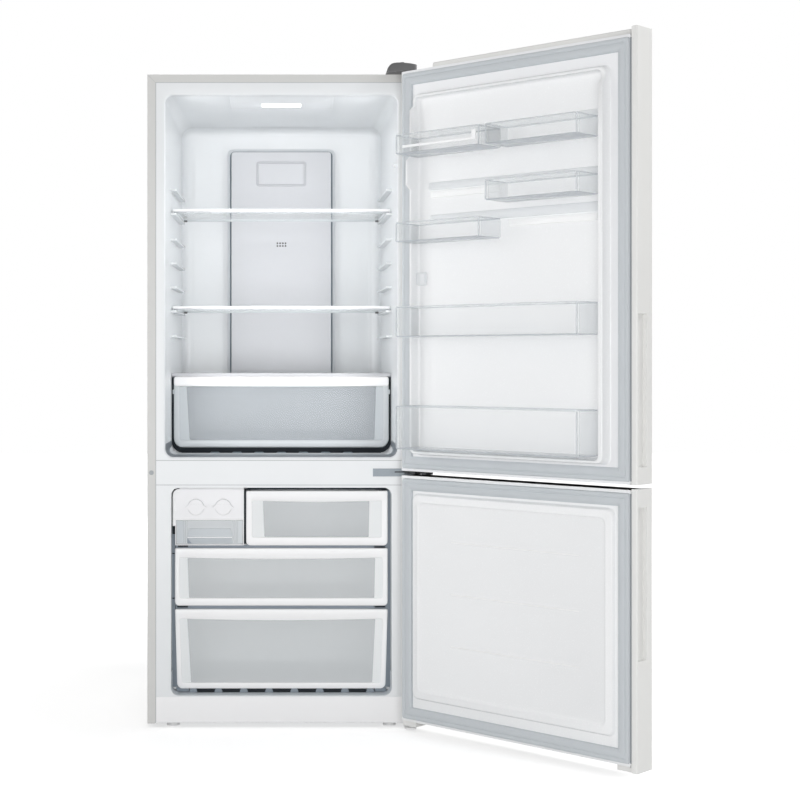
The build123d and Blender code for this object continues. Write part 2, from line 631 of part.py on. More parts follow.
def door_hinges():
    hole_r = SCREW_SHANK_R + SCREW_CLEARANCE
    plate_top = CABINET_TOP + HINGE_PLATE
    top = arm(FRONT + ARM_WIDTH, CABINET_TOP, plate_top)
    plate_right = HALF - TOP_HINGE_INSET
    top += block(plate_right - TOP_HINGE_WIDTH, plate_right, FRONT + TOP_HINGE_INSET,
                 FRONT + TOP_HINGE_LENGTH, CABINET_TOP, plate_top)
    top += pin(FRIDGE_DOOR_TOP - PIN_REACH, plate_top + 1)
    for x, y in top_screw_places():
        top -= upright(x, y, CABINET_TOP - 1, plate_top + 1, hole_r)
    middle = block(MIDDLE_PLATE_X, HALF - HINGE_SIDE_GAP, FRONT - HINGE_PLATE, FRONT,
                   MIDDLE_PLATE_BOTTOM, MIDDLE_PLATE_TOP)
    arm_low = (FRIDGE_DOOR_BOTTOM + FREEZER_DOOR_TOP - MIDDLE_ARM_THICK) / 2
    arm_high = arm_low + MIDDLE_ARM_THICK
    middle += arm(FRONT - HINGE_PLATE / 2, arm_low, arm_high)
    middle += pin(FREEZER_DOOR_TOP - PIN_REACH, FRIDGE_DOOR_BOTTOM + PIN_REACH)
    for x, z in middle_screw_places():
        middle -= along_y(x, FRONT - HINGE_PLATE - 1, FRONT + 1, z, hole_r)
    low_back = FRONT + BOTTOM_ARM_REACH
    low = arm(low_back, BOTTOM_ARM_TOP - MIDDLE_ARM_THICK, BOTTOM_ARM_TOP)
    low += block(HALF - ARM_WIDTH, HALF - ARM_WIDTH + MIDDLE_ARM_THICK,
                 FRONT + 3 * BASE_PANEL_THICK, low_back, BOTTOM_ARM_TOP - MIDDLE_ARM_THICK,
                 BASE_PLATE_TOP - BASE_SHEET)
    low += pin(BOTTOM_ARM_TOP - 1, FREEZER_DOOR_BOTTOM + PIN_REACH)
    return group([top, middle, low])


def top_screw_places():
    left = HALF - TOP_HINGE_INSET - TOP_HINGE_WIDTH
    near, far = left + 3 * SCREW_R, left + 11 * SCREW_R
    back = FRONT + TOP_HINGE_LENGTH - 4 * SCREW_R
    return [(near, FRONT + 9 * SCREW_R), (near, back), (far, back)]


def middle_screw_places():
    z = (MIDDLE_PLATE_BOTTOM + MIDDLE_PLATE_TOP) / 2
    return [(MIDDLE_PLATE_X + 3 * SCREW_R, z), (MIDDLE_PLATE_X + 11 * SCREW_R, z)]


def hinge_screws():
    screws = []
    z = CABINET_TOP + HINGE_PLATE
    for x, y in top_screw_places():
        head = upright(x, y, z, z + SCREW_HEAD, SCREW_R)
        screws.append(head + upright(x, y, CABINET_TOP, z, SCREW_SHANK_R))
    y = FRONT - HINGE_PLATE
    for x, z in middle_screw_places():
        head = along_y(x, y - SCREW_HEAD, y, z, SCREW_R)
        screws.append(head + along_y(x, y, FRONT, z, SCREW_SHANK_R))
    return group(screws)


def top_hinge_cover():
    x0 = HALF - TOP_HINGE_INSET - TOP_HINGE_WIDTH - COVER_WALL - COVER_GAP
    x1 = HALF - 0.1
    y0 = HINGE_Y - ARM_NOSE - COVER_WALL - COVER_GAP
    y1 = FRONT + TOP_HINGE_LENGTH + COVER_WALL + COVER_GAP
    z0 = CABINET_TOP
    z1 = CABINET_TOP + COVER_HEIGHT
    corners = [(x0, z0), (x1, z0), (x1, z1 - 7), (x1 - 20, z1), (x0 + 24, z1), (x0, z0 + 10)]
    outline = make_face(Polyline([(x, 0, z) for x, z in corners], close=True))
    shell = Pos(0, y1, 0) * extrude(outline, y1 - y0, dir=(0, -1, 0))
    plate_top = z0 + HINGE_PLATE + SCREW_HEAD + COVER_GAP
    shell -= block(x0 + COVER_WALL, HALF - 0.1 - COVER_GAP, FRONT + 1, y1 - COVER_WALL, z0 - 1,
                   plate_top)
    shell -= block(HALF - ARM_WIDTH - COVER_GAP, HALF - 0.1 - COVER_GAP, y0 + COVER_WALL, FRONT + 2,
                   z0 - 1, plate_top)
    shell -= block(x0 + 26, x1 - 22, FRONT + 1, y1 - COVER_WALL, z0, z1 - COVER_WALL)
    return shell


# ---- fridge interior ----
def lamp_housing():
    y0 = FRONT + LAMP_FRONT
    body = block(-LAMP_HALF, LAMP_HALF, y0, y0 + LAMP_DEPTH, FRIDGE_CEILING - LAMP_THICK,
                 FRIDGE_CEILING)
    body = fillet(body.edges().filter_by(Axis.Z), LAMP_ROUND)
    body &= fridge_form(0)
    lens_y = FRONT + LENS_NEAR
    return body - block(-LENS_HALF - GLASS_FIT, LENS_HALF + GLASS_FIT, lens_y - GLASS_FIT,
                        lens_y + LENS_DEPTH + GLASS_FIT, FRIDGE_CEILING - LAMP_THICK - 1,
                        FRIDGE_CEILING - LAMP_ROOF)


def lamp_lens():
    y0 = FRONT + LENS_NEAR
    z0 = FRIDGE_CEILING - LAMP_THICK - LENS_PROUD
    lens = block(-LENS_HALF, LENS_HALF, y0, y0 + LENS_DEPTH, z0, FRIDGE_CEILING - LAMP_ROOF)
    return fillet(lens.edges().group_by(Axis.Z)[0], 0.8 * LENS_PROUD)


def air_duct_cover():
    bottom = FRIDGE_FLOOR + DUCT_FOOT
    front = FRIDGE_BACK - DUCT_THICK
    cover = slab(-DUCT_HALF, DUCT_HALF, bottom, DUCT_TOP, DUCT_ROUND, front, FRIDGE_BACK)
    cover -= slab(-DUCT_HALF + DUCT_WALL, DUCT_HALF - DUCT_WALL, bottom + DUCT_WALL,
                  DUCT_TOP - DUCT_WALL, DUCT_ROUND - DUCT_WALL, front + DUCT_WALL,
                  FRIDGE_BACK + 1)
    z0 = LABEL_Z - LABEL_HEIGHT / 2
    z1 = LABEL_Z + LABEL_HEIGHT / 2
    frame = slab(-LABEL_HALF, LABEL_HALF, z0, z1, LABEL_ROUND, front - LABEL_PROUD, front)
    frame -= slab(-LABEL_HALF + LABEL_FRAME, LABEL_HALF - LABEL_FRAME, z0 + LABEL_FRAME,
                  z1 - LABEL_FRAME, LABEL_ROUND - LABEL_FRAME, front - LABEL_PROUD - 1, front)
    cover += frame
    for column in range(GRILLE_COLUMNS):
        for row in (-0.5, 0.5):
            x = (column - (GRILLE_COLUMNS - 1) / 2) * GRILLE_PITCH
            cover -= along_y(x, front - 1, front + DUCT_WALL + 1, GRILLE_Z + row * GRILLE_PITCH,
                             GRILLE_HOLE_R)
    return cover


def shelf_outline(inset, y0, y1):
    """A plan outline that follows the side walls, at inset from them."""
    front_half = wall_half(y0) - inset
    back_half = wall_half(y1) - inset
    return make_face(Polyline((-front_half, y0), (front_half, y0), (back_half, y1),
                              (-back_half, y1), close=True))


def shelf_frame(top):
    y0 = FRONT + SHELF_FRONT
    y1 = y0 + SHELF_DEPTH
    frame = extrude(Pos(0, 0, top - SHELF_THICK) * shelf_outline(SIDE_CLEARANCE, y0, y1),
                    SHELF_THICK, dir=(0, 0, 1))
    rim = SIDE_CLEARANCE + SHELF_RIM
    through = shelf_outline(rim, y0 + SHELF_RIM + 4, y1 - SHELF_RIM)
    frame -= extrude(Pos(0, 0, top - SHELF_THICK - 1) * through, SHELF_THICK + 2, dir=(0, 0, 1))
    return frame - shelf_pane(top, GLASS_FIT, 2)


def shelf_pane(top, grow, rise):
    y0 = FRONT + SHELF_FRONT + SHELF_RIM - 3 - grow
    y1 = FRONT + SHELF_FRONT + SHELF_DEPTH - SHELF_RIM + 5 + grow
    inset = SIDE_CLEARANCE + SHELF_RIM - 5 - grow
    pane = Pos(0, 0, top - SHELF_GLASS) * shelf_outline(inset, y0, y1)
    return extrude(pane, SHELF_GLASS + rise, dir=(0, 0, 1))


def crisper_cover_frame():
    y0 = FRONT + CRISPER_FRONT
    y1 = y0 + CRISPER_DEPTH
    bottom = CRISPER_BOTTOM + CRISPER_HEIGHT + RUN_GAP
    plate = Pos(0, 0, bottom) * shelf_outline(COVER_EDGE_GAP, y0, y1)
    frame = extrude(plate, CRISPER_COVER_HEIGHT, dir=(0, 0, 1))
    through = shelf_outline(COVER_RAIL + 2, y0 + COVER_RAIL, y1 - COVER_RAIL)
    frame -= extrude(Pos(0, 0, bottom - 1) * through, CRISPER_COVER_HEIGHT + 2, dir=(0, 0, 1))
    return frame - crisper_pane(GLASS_FIT, 2)


def crisper_pane(grow, rise):
    y0 = FRONT + CRISPER_FRONT + 12 - grow
    y1 = FRONT + CRISPER_FRONT + CRISPER_DEPTH - 12 + grow
    top = CRISPER_BOTTOM + CRISPER_HEIGHT + RUN_GAP + CRISPER_COVER_HEIGHT
    pane = Pos(0, 0, top - SHELF_GLASS) * shelf_outline(SHELF_RIM + 2 - grow, y0, y1)
    return extrude(pane, SHELF_GLASS + rise, dir=(0, 0, 1))


def drawer(x0, x1, z0, height, y0, depth, shoulder, wall_height):
    """A tub with a rounded front frame; the tub is narrower than the front by the shoulder."""
    top = z0 + height
    front = slab(x0, x1, z0, top, DRAWER_CORNER, y0, y0 + DRAWER_FRONT_THICK)
    tub_top = z0 + wall_height
    tub = block(x0 + shoulder, x1 - shoulder, y0 + DRAWER_FRONT_THICK, y0 + depth, z0, tub_top)
    tub -= block(x0 + shoulder + DRAWER_WALL, x1 - shoulder - DRAWER_WALL,
                 y0 + DRAWER_FRONT_THICK, y0 + depth - DRAWER_WALL, z0 + DRAWER_WALL, tub_top + 1)
    return front + tub


def crisper_drawer():
    return drawer(-CRISPER_HALF, CRISPER_HALF, CRISPER_BOTTOM, CRISPER_HEIGHT,
                  FRONT + CRISPER_FRONT, CRISPER_DEPTH - CRISPER_TUB_SHORT, CRISPER_SHOULDER,
                  CRISPER_HEIGHT - CRISPER_TUB_DROP)


# ---- freezer interior ----
def freezer_drawer(x0, z0, height):
    return drawer(x0, FREEZER_DRAWER_HALF, z0, height, FRONT + FREEZER_FRONT,
                  FREEZER_DRAWER_DEPTH, DRAWER_SHOULDER, height - DRAWER_TUB_DROP)


def ice_maker_housing():
    """An open box under the ceiling, with the knobs' face above and a bay for the ice bin."""
    y0 = FRONT + FREEZER_FRONT
    y1 = y0 + ICE_HOUSING_DEPTH
    wall = ICE_HOUSING_WALL
    floor = TOP_DRAWER_Z - RUN_GAP
    face_bottom = TOP_DRAWER_Z + ICE_BIN_HEIGHT + ICE_BIN_LIP_GAP
    left, right = ICE_LEFT + wall, ICE_RIGHT - wall
    body = block(ICE_LEFT, ICE_RIGHT, y0, y1, floor - wall, FREEZER_CEILING + 1)
    lean = Polyline((ICE_LEFT, y0, FREEZER_CEILING - ICE_BEVEL_HEIGHT),
                    (ICE_LEFT, y0 + ICE_BEVEL, FREEZER_CEILING + 1),
                    (ICE_LEFT, y0, FREEZER_CEILING + 1), close=True)
    body -= extrude(make_face(lean), ICE_WIDTH, dir=(1, 0, 0))
    body -= block(left, right, y0 - 1, y1 - wall, floor, face_bottom)
    body -= block(left, right, y0 + ICE_FACE_WALL, y1 - wall, face_bottom - 1,
                  FREEZER_CEILING - ICE_FACE_WALL - 1)
    body += block(ICE_RIGHT, TOP_DRAWER_LEFT + ICE_SHELF_REACH,
                  y0 + DRAWER_FRONT_THICK + ICE_FACE_WALL, y1, floor - wall, floor)
    for x in KNOB_X:
        body -= along_y(x, y0 - 1, y0 + ICE_FACE_WALL + 1, KNOB_Z, TRAY_SPINDLE_R + PIN_CLEARANCE)
        body -= along_y(x, y1 - wall - 1, y1 + 1, KNOB_Z, TRAY_TAIL_R + PIN_CLEARANCE)
    return body & freezer_form(0)


def knob_grip(x, y0, y1):
    """A flat bar across the knob, drawn out to a point at each end."""
    flat = KNOB_R - KNOB_GRIP
    right = [(flat, KNOB_GRIP_HALF), (KNOB_EAR, 0), (flat, -KNOB_GRIP_HALF)]
    left = [(-a, -b) for a, b in right]
    outline = Polyline([(x + a, y1, KNOB_Z + b) for a, b in right + left], close=True)
    return extrude(make_face(outline), y1 - y0, dir=(0, -1, 0))


def ice_tray(x):
    """A twelve-cell tray on a spindle, with its knob in front of the housing's face."""
    y0 = FRONT + FREEZER_FRONT
    start = y0 + ICE_HOUSING_WALL + TRAY_GAP
    end = start + TRAY_LENGTH
    z0, z1 = KNOB_Z - TRAY_HEIGHT / 2, KNOB_Z + TRAY_HEIGHT / 2
    knob = along_y(x, y0 - KNOB_THICK, y0 - KNOB_GAP, KNOB_Z, KNOB_R)
    knob = fillet(knob.edges().group_by(Axis.Y)[0], KNOB_ROUND)
    knob += knob_grip(x, y0 - KNOB_THICK - 1, y0 - KNOB_THICK / 2)
    tray = block(x - TRAY_HALF, x + TRAY_HALF, start, end, z0, z1)
    pitch = (TRAY_LENGTH - CELL_GAP) / TRAY_ROWS
    for row in range(TRAY_ROWS):
        for side in (-1, 1):
            x0, x1 = sorted((x + side * TRAY_WALL, x + side * (TRAY_HALF - TRAY_WALL)))
            cell0 = start + CELL_GAP + row * pitch
            tray -= block(x0, x1, cell0, cell0 + pitch - CELL_GAP, z0 + TRAY_WALL, z1 + 1)
    tray += along_y(x, y0 - KNOB_GAP, start + TRAY_WALL, KNOB_Z, TRAY_SPINDLE_R)
    tray += along_y(x, end - TRAY_WALL, y0 + ICE_HOUSING_DEPTH, KNOB_Z, TRAY_TAIL_R)
    return knob + tray


def ice_bin():
    inset = ICE_HOUSING_WALL + RUN_GAP
    return drawer(ICE_LEFT + inset, ICE_RIGHT - inset, TOP_DRAWER_Z, ICE_BIN_HEIGHT,
                  FRONT + FREEZER_FRONT, ICE_BIN_DEPTH, ICE_BIN_SHOULDER,
                  ICE_BIN_HEIGHT - ICE_BIN_TUB_DROP)


def freezer_back_cover():
    """The panel in front of the evaporator, with the fan's hole and two banks of vanes."""
    y1 = EVAPORATOR_FRONT
    y0 = y1 - EVAPORATOR_COVER
    half = FREEZER_HALF - FREEZER_DRAFT - GLASS_FIT
    top = FREEZER_CEILING - FREEZER_DRAFT / 2 - GLASS_FIT
    cover = slab(-half, half, FREEZER_STEP, top, CORNER_FRONT, y0, y1)
    cover -= along_y(0, y0 - 1, y1 + 1, FAN_Z, FAN_R + FAN_CLEAR)
    for side in (-1, 1):
        for row in range(VANE_ROWS):
            x = side * VANE_X
            z = FREEZER_STEP + EVAPORATOR_RISE + (row + 1) * VANE_PITCH
            cover -= slab(x - VANE_HALF, x + VANE_HALF, z, z + VANE_PITCH / 2, 0.24 * VANE_PITCH,
                          y0 - 1, y1 + 1)
    return cover


def fan_motor():
    """A motor held in front of the coil on three legs that stand on the cover."""
    y0 = EVAPORATOR_FRONT
    hub_back = y0 + 2 * FAN_HUB_R
    body = along_y(0, hub_back, hub_back + 32, FAN_Z, 20)
    body += along_y(0, y0 + 4, hub_back, FAN_Z, FAN_SHAFT_R)
    reach = FAN_R + 8
    for turn in range(3):
        angle = math.radians(90 + 120 * turn)
        body += along_y(reach * math.cos(angle), y0, y0 + 42, FAN_Z + reach * math.sin(angle), 4)
        spoke = Pos(0, y0 + 40, FAN_Z) * Rot(0, -math.degrees(angle), 0) * Pos(reach / 2, 0, 0)
        body += spoke * Box(reach, 4, 7)
    return body


def fan_blade():
    y0 = EVAPORATOR_FRONT
    hub = along_y(0, y0 + 4, y0 + 20, FAN_Z, FAN_HUB_R)
    for turn in range(FAN_BLADES):
        place = Pos(0, y0 + 12, FAN_Z) * Rot(0, 360 * turn / FAN_BLADES, 0)
        hub += place * Pos((FAN_R + 10) / 2, 0, 0) * Rot(35, 0, 0) * Box(FAN_R - 12, 1.6, 20)
    return hub - along_y(0, y0 - 1, y0 + 21, FAN_Z, FAN_SHAFT_R + PIN_CLEARANCE)


def evaporator():
    """Two rows of tube, joined at their ends, with plate fins across them."""
    y1 = FREEZER_HIGH_BACK - RUN_GAP
    y0 = EVAPORATOR_FRONT + EVAPORATOR_AIR
    middle = (y0 + y1) / 2
    low = FREEZER_STEP + EVAPORATOR_RISE
    half = EVAPORATOR_HALF
    end_x = half - COIL_R + 1
    first = low + COIL_PITCH / 2
    coil = along_x(-half, half, middle - COIL_SPREAD, first, COIL_R)
    for level in range(COIL_LEVELS):
        z = first + level * COIL_PITCH
        for y in (middle - COIL_SPREAD, middle + COIL_SPREAD):
            coil += along_x(-half, half, y, z, COIL_R)
        coil += Pos(-end_x, middle, z) * Box(2 * COIL_R, 2 * COIL_SPREAD + 2 * COIL_R, 2 * COIL_R)
        if level < COIL_LEVELS - 1:
            joint = Pos(end_x, middle + COIL_SPREAD, z + COIL_PITCH / 2)
            coil += joint * Box(2 * COIL_R, 2 * COIL_R, COIL_PITCH + 2 * COIL_R)
    fins = int((2 * half - FIN_PITCH) / FIN_PITCH)
    for fin in range(fins + 1):
        x = (fin - fins / 2) * FIN_PITCH
        coil += block(x - FIN_THICK / 2, x + FIN_THICK / 2, y0, y1, low,
                      low + COIL_LEVELS * COIL_PITCH)
    return coil


def defrost_heater():
    y = (EVAPORATOR_FRONT + EVAPORATOR_AIR + FREEZER_HIGH_BACK) / 2
    z = FREEZER_STEP + EVAPORATOR_RISE - HEATER_R - HEATER_GAP
    half = EVAPORATOR_HALF - HEATER_SHORT
    heater = along_x(-half, half, y, z, HEATER_R)
    for side in (-1, 1):
        x = side * (half - HEATER_SHORT)
        heater += block(x - 3, x + 3, y - 4, y + 4, FREEZER_STEP + GLASS_FIT, z)
    return heater


# ---- machinery in the compressor bay ----
def mount_places():
    return [(COMPRESSOR_X + MOUNT_X * i, COMPRESSOR_Y + MOUNT_Y * j)
            for i in (-1, 1) for j in (-1, 1)]


def compressor():
    """A drawn can on a foot plate, with the starter box on its side."""
    z0 = BAY_FLOOR + MOUNT_HEIGHT
    plate_top = z0 + 3
    can = upright(COMPRESSOR_X, COMPRESSOR_Y, plate_top, z0 + COMPRESSOR_HEIGHT, COMPRESSOR_R)
    can = fillet(can.edges().group_by(Axis.Z)[-1], 24)
    half_x, half_y = MOUNT_X + 14, MOUNT_Y + 12
    plate = block(COMPRESSOR_X - half_x, COMPRESSOR_X + half_x, COMPRESSOR_Y - half_y,
                  COMPRESSOR_Y + half_y, z0, plate_top)
    plate = fillet(plate.edges().filter_by(Axis.Z), 12)
    for x, y in mount_places():
        plate -= upright(x, y, z0 - 1, plate_top + 1, MOUNT_NECK_R + GLASS_FIT)
    box_x = COMPRESSOR_X + COMPRESSOR_R - 10
    box = block(box_x, box_x + 32, COMPRESSOR_Y - 22, COMPRESSOR_Y + 22, z0 + 40, z0 + 100)
    return can + plate + box


def compressor_mounts():
    z0 = BAY_FLOOR
    z1 = z0 + MOUNT_HEIGHT
    mounts = []
    for x, y in mount_places():
        neck = upright(x, y, z1, z1 + MOUNT_NECK, MOUNT_NECK_R)
        mounts.append(upright(x, y, z0, z1, MOUNT_R) + neck)
    return group(mounts)


def drip_tray():
    z0 = BAY_FLOOR + MOUNT_HEIGHT + COMPRESSOR_HEIGHT
    wall = LINER_WALL
    half_x, half_y = TRAY_PAN_HALF_X, TRAY_PAN_HALF_Y
    tray = block(COMPRESSOR_X - half_x, COMPRESSOR_X + half_x, COMPRESSOR_Y - half_y,
                 COMPRESSOR_Y + half_y, z0, z0 + TRAY_PAN_HEIGHT)
    tray = fillet(tray.edges().filter_by(Axis.Z), TRAY_PAN_ROUND)
    hollow = block(COMPRESSOR_X - half_x + wall, COMPRESSOR_X + half_x - wall,
                   COMPRESSOR_Y - half_y + wall, COMPRESSOR_Y + half_y - wall, z0 + wall,
                   z0 + TRAY_PAN_HEIGHT + 1)
    return tray - fillet(hollow.edges().filter_by(Axis.Z), TRAY_PAN_ROUND - wall)


def condenser():
    """A serpentine tube standing on the bay floor, tied by upright wires."""
    y = COMPRESSOR_Y
    left, right = CONDENSER_LEFT, CONDENSER_RIGHT
    low = BAY_FLOOR + TUBE_R + HEATER_GAP
    runs = []
    for turn in range(CONDENSER_PASSES):
        z = low + turn * CONDENSER_PITCH
        start, end = (left, right) if turn % 2 == 0 else (right, left)
        runs.append(Line((start, y, z), (end, y, z)))
        if turn < CONDENSER_PASSES - 1:
            bulge = math.copysign(CONDENSER_PITCH / 2, end - start)
            runs.append(ThreePointArc((end, y, z), (end + bulge, y, z + CONDENSER_PITCH / 2),
                                      (end, y, z + CONDENSER_PITCH)))
    ring = Plane(origin=(left, y, low), z_dir=(1, 0, 0)) * Circle(TUBE_R)
    tube = sweep(ring, path=Wire(runs))
    top = low + (CONDENSER_PASSES - 1) * CONDENSER_PITCH
    for wire in range(CONDENSER_WIRES):
        x = left + (wire + 0.5) * (right - left) / CONDENSER_WIRES
        tube += upright(x, y - TUBE_R - HEATER_GAP, low, top, WIRE_R)
    return tube


def power_inlet():
    """A socket for a mains lead, held by its rim in the rear cover."""
    half, tall = INLET_HALF, INLET_HALF_HEIGHT
    rim, wall = 5, 2.5
    floor = BACK - 16
    body = block(INLET_X - half, INLET_X + half, BACK - 30, BACK, INLET_Z - tall, INLET_Z + tall)
    body += block(INLET_X - half - rim, INLET_X + half + rim, BACK, BACK + 2,
                  INLET_Z - tall - rim, INLET_Z + tall + rim)
    body -= block(INLET_X - half + wall, INLET_X + half - wall, floor, BACK + 3,
                  INLET_Z - tall + wall, INLET_Z + tall - wall)
    for offset in (-7, 0, 7):
        x = INLET_X + offset
        body += block(x - 1, x + 1, floor - 1, BACK - 3, INLET_Z - 2, INLET_Z + 2)
    return body


# ---- feet, rollers and the door switch ----
def front_foot(side):
    pad = upright(side * FOOT_X, FOOT_Y, 0, FOOT_PAD_HEIGHT - 1, FOOT_PAD_R)
    pad = chamfer(pad.edges().group_by(Axis.Z)[-1], FOOT_PAD_BEVEL)
    stud_top = BASE_PLATE_TOP - BASE_SHEET - 2
    return pad + upright(side * FOOT_X, FOOT_Y, FOOT_PAD_HEIGHT - 2, stud_top, FOOT_STUD_R)


def rear_rollers():
    wheels = []
    for side in (-1, 1):
        x = side * ROLLER_X
        wheel = along_x(x - ROLLER_WIDTH / 2, x + ROLLER_WIDTH / 2, ROLLER_Y, ROLLER_R, ROLLER_R)
        bore = along_x(x - ROLLER_WIDTH, x + ROLLER_WIDTH, ROLLER_Y, ROLLER_R,
                       ROLLER_AXLE_R + PIN_CLEARANCE)
        wheels.append(wheel - bore)
    return group(wheels)


def switch_plunger():
    y = FRONT + SWITCH_BACK
    wall = wall_half(y)
    stem = along_x(wall - SWITCH_OUT, wall + SWITCH_STEM, y, SWITCH_Z, SWITCH_R)
    collar = along_x(wall + SWITCH_OUT, wall + SWITCH_OUT + 3, y, SWITCH_Z, SWITCH_R + 1.5)
    return chamfer(stem.edges().group_by(Axis.X)[0], 0.8) + collar


# ---- doors ----
def at_door(u0, u1, w0, w1, z0, z1):
    """A block on the closed door: u from the hinge side, w inwards from the inner face."""
    return block(HALF - u1, HALF - u0, DOOR_PLANE + w0, DOOR_PLANE + w1, z0, z1)


def door_slab(u0, u1, w0, w1, z0, z1, radius):
    return slab(HALF - u1, HALF - u0, z0, z1, radius, DOOR_PLANE + w0, DOOR_PLANE + w1)


def door_taper(u0, u1, z0, z1, w0, w1, slope, radius):
    """A raised form whose sides close in by slope from w0 to w1."""
    base = facing(HALF - u1, HALF - u0, z0, z1, radius, DOOR_PLANE + w0)
    crest = facing(HALF - u1 + slope, HALF - u0 - slope, z0 + slope, z1 - slope, radius,
                   DOOR_PLANE + w1)
    return loft([base, crest], ruled=True)


def opened(shape):
    return shape.rotate(HINGE_AXIS, DOOR_ANGLE)


def pin_bosses(z0, z1, grow):
    """The blocks inside both ends of a door that hold the hinge pins."""
    reach = PIN_REACH + 6 + grow
    side = HINGE_EDGE + 14 + grow
    w0 = -HINGE_BEHIND - 14 - grow
    w1 = -HINGE_BEHIND + 14 + grow
    low = at_door(DOOR_SHEET, side, w0, w1, z0, z0 + reach)
    return low + at_door(DOOR_SHEET, side, w0, w1, z1 - reach, z1)


def pin_bores(z0, z1):
    radius = PIN_R + PIN_CLEARANCE
    low = upright(HINGE_X, HINGE_Y, z0 - 30, z0 + PIN_REACH + 2, radius)
    return low + upright(HINGE_X, HINGE_Y, z1 - PIN_REACH - 2, z1 + 1, radius)


def door_skin(z0, z1):
    skin = at_door(0, STRIP_START, -DOOR_THICK, 0, z0, z1)
    skin -= at_door(DOOR_SHEET, STRIP_START - DOOR_SHEET, DOOR_SHEET - DOOR_THICK, 1, z0 - 1,
                    z1 + 1)
    outer = skin.edges().filter_by(Axis.Z).group_by(Axis.Y)[0].sort_by(Axis.X)[-1]
    return fillet(outer, 0.9 * DOOR_SHEET)


def door_foam(z0, z1):
    foam = at_door(DOOR_SHEET, STRIP_START - DOOR_SHEET, DOOR_SHEET - DOOR_THICK, -DOOR_LINER,
                   z0 + DOOR_CAP, z1 - DOOR_CAP)
    return foam - pin_bosses(z0, z1, 0)


def door_gasket(z0, z1):
    inset = GASKET_INSET
    near, far = inset, STRIP_START - 2
    ring = door_slab(near, far, 0, GASKET_HEIGHT, z0 + inset, z1 - inset, 6)
    width = GASKET_WIDTH
    ring -= door_slab(near + width, far - width, -1, GASKET_HEIGHT + 1, z0 + inset + width,
                      z1 - inset - width, 10)
    edge = GASKET_GROOVE_INSET
    floor = GASKET_HEIGHT - GASKET_GROOVE_DEPTH
    groove = door_slab(near + edge, far - edge, floor, GASKET_HEIGHT + 1, z0 + inset + edge,
                       z1 - inset - edge, 6)
    edge += GASKET_GROOVE
    groove -= door_slab(near + edge, far - edge, floor - 1, GASKET_HEIGHT + 2,
                        z0 + inset + edge, z1 - inset - edge, 6)
    return ring - groove


def recess(z0, length):
    return at_door(CABINET_WIDTH - RECESS_DEPTH, CABINET_WIDTH + 1, -RECESS_FAR, -RECESS_NEAR, z0,
                   z0 + length)


def door_trim(z0, z1, strip_low, strip_high, recess_low):
    """End caps with the pin bushings, and the handle strip."""
    inner = STRIP_START - DOOR_SHEET
    w0 = DOOR_SHEET - DOOR_THICK
    caps = at_door(DOOR_SHEET, inner, w0, -DOOR_LINER, z0, z0 + DOOR_CAP)
    caps += at_door(DOOR_SHEET, inner, w0, -DOOR_LINER, z1 - DOOR_CAP, z1)
    caps += pin_bosses(z0, z1, 0)
    strip = at_door(STRIP_START, CABINET_WIDTH, -DOOR_THICK, 0, strip_low, strip_high)
    outer = strip.edges().filter_by(Axis.Z).group_by(Axis.X)[0]
    strip = fillet(outer, STRIP_ROUND)
    return caps, strip - recess(recess_low, RECESS_LENGTH)


def fridge_door_trim():
    z0, z1 = FRIDGE_DOOR_BOTTOM, FRIDGE_DOOR_TOP
    top = z1 + RAISED_CAP_HEIGHT
    caps, strip = door_trim(z0, z1, z0, top + STRIP_RISE, z0 + RECESS_END)
    raised = at_door(RAISED_CAP_START, STRIP_START - 9, 6 - DOOR_THICK, -14, z1, top)
    raised = fillet(raised.edges().group_by(Axis.Z)[-1], 4)
    caps += raised
    return caps - pin_bores(z0, z1) + strip


def freezer_door_trim():
    z0, z1 = FREEZER_DOOR_BOTTOM, FREEZER_DOOR_TOP
    foot = z0 - CAP_FOOT_HEIGHT
    caps, strip = door_trim(z0, z1, foot, z1 + STRIP_RISE, z1 - RECESS_END - RECESS_LENGTH)
    for u0 in (DOOR_SHEET, STRIP_START - CAP_FOOT_LENGTH):
        caps += at_door(u0, u0 + CAP_FOOT_LENGTH, 5 - DOOR_THICK, -6, foot, z0)
    return caps - pin_bores(z0, z1) + strip


def dyke_edges():
    u0 = DYKE_HINGE_SIDE - DYKE_SLOPE
    u1 = CABINET_WIDTH - DYKE_FREE_SIDE + DYKE_SLOPE
    z0 = FRIDGE_FLOOR + DYKE_CLEAR - DYKE_SLOPE
    z1 = FRIDGE_CEILING - DYKE_CLEAR + DYKE_SLOPE
    return u0, u1, z0, z1


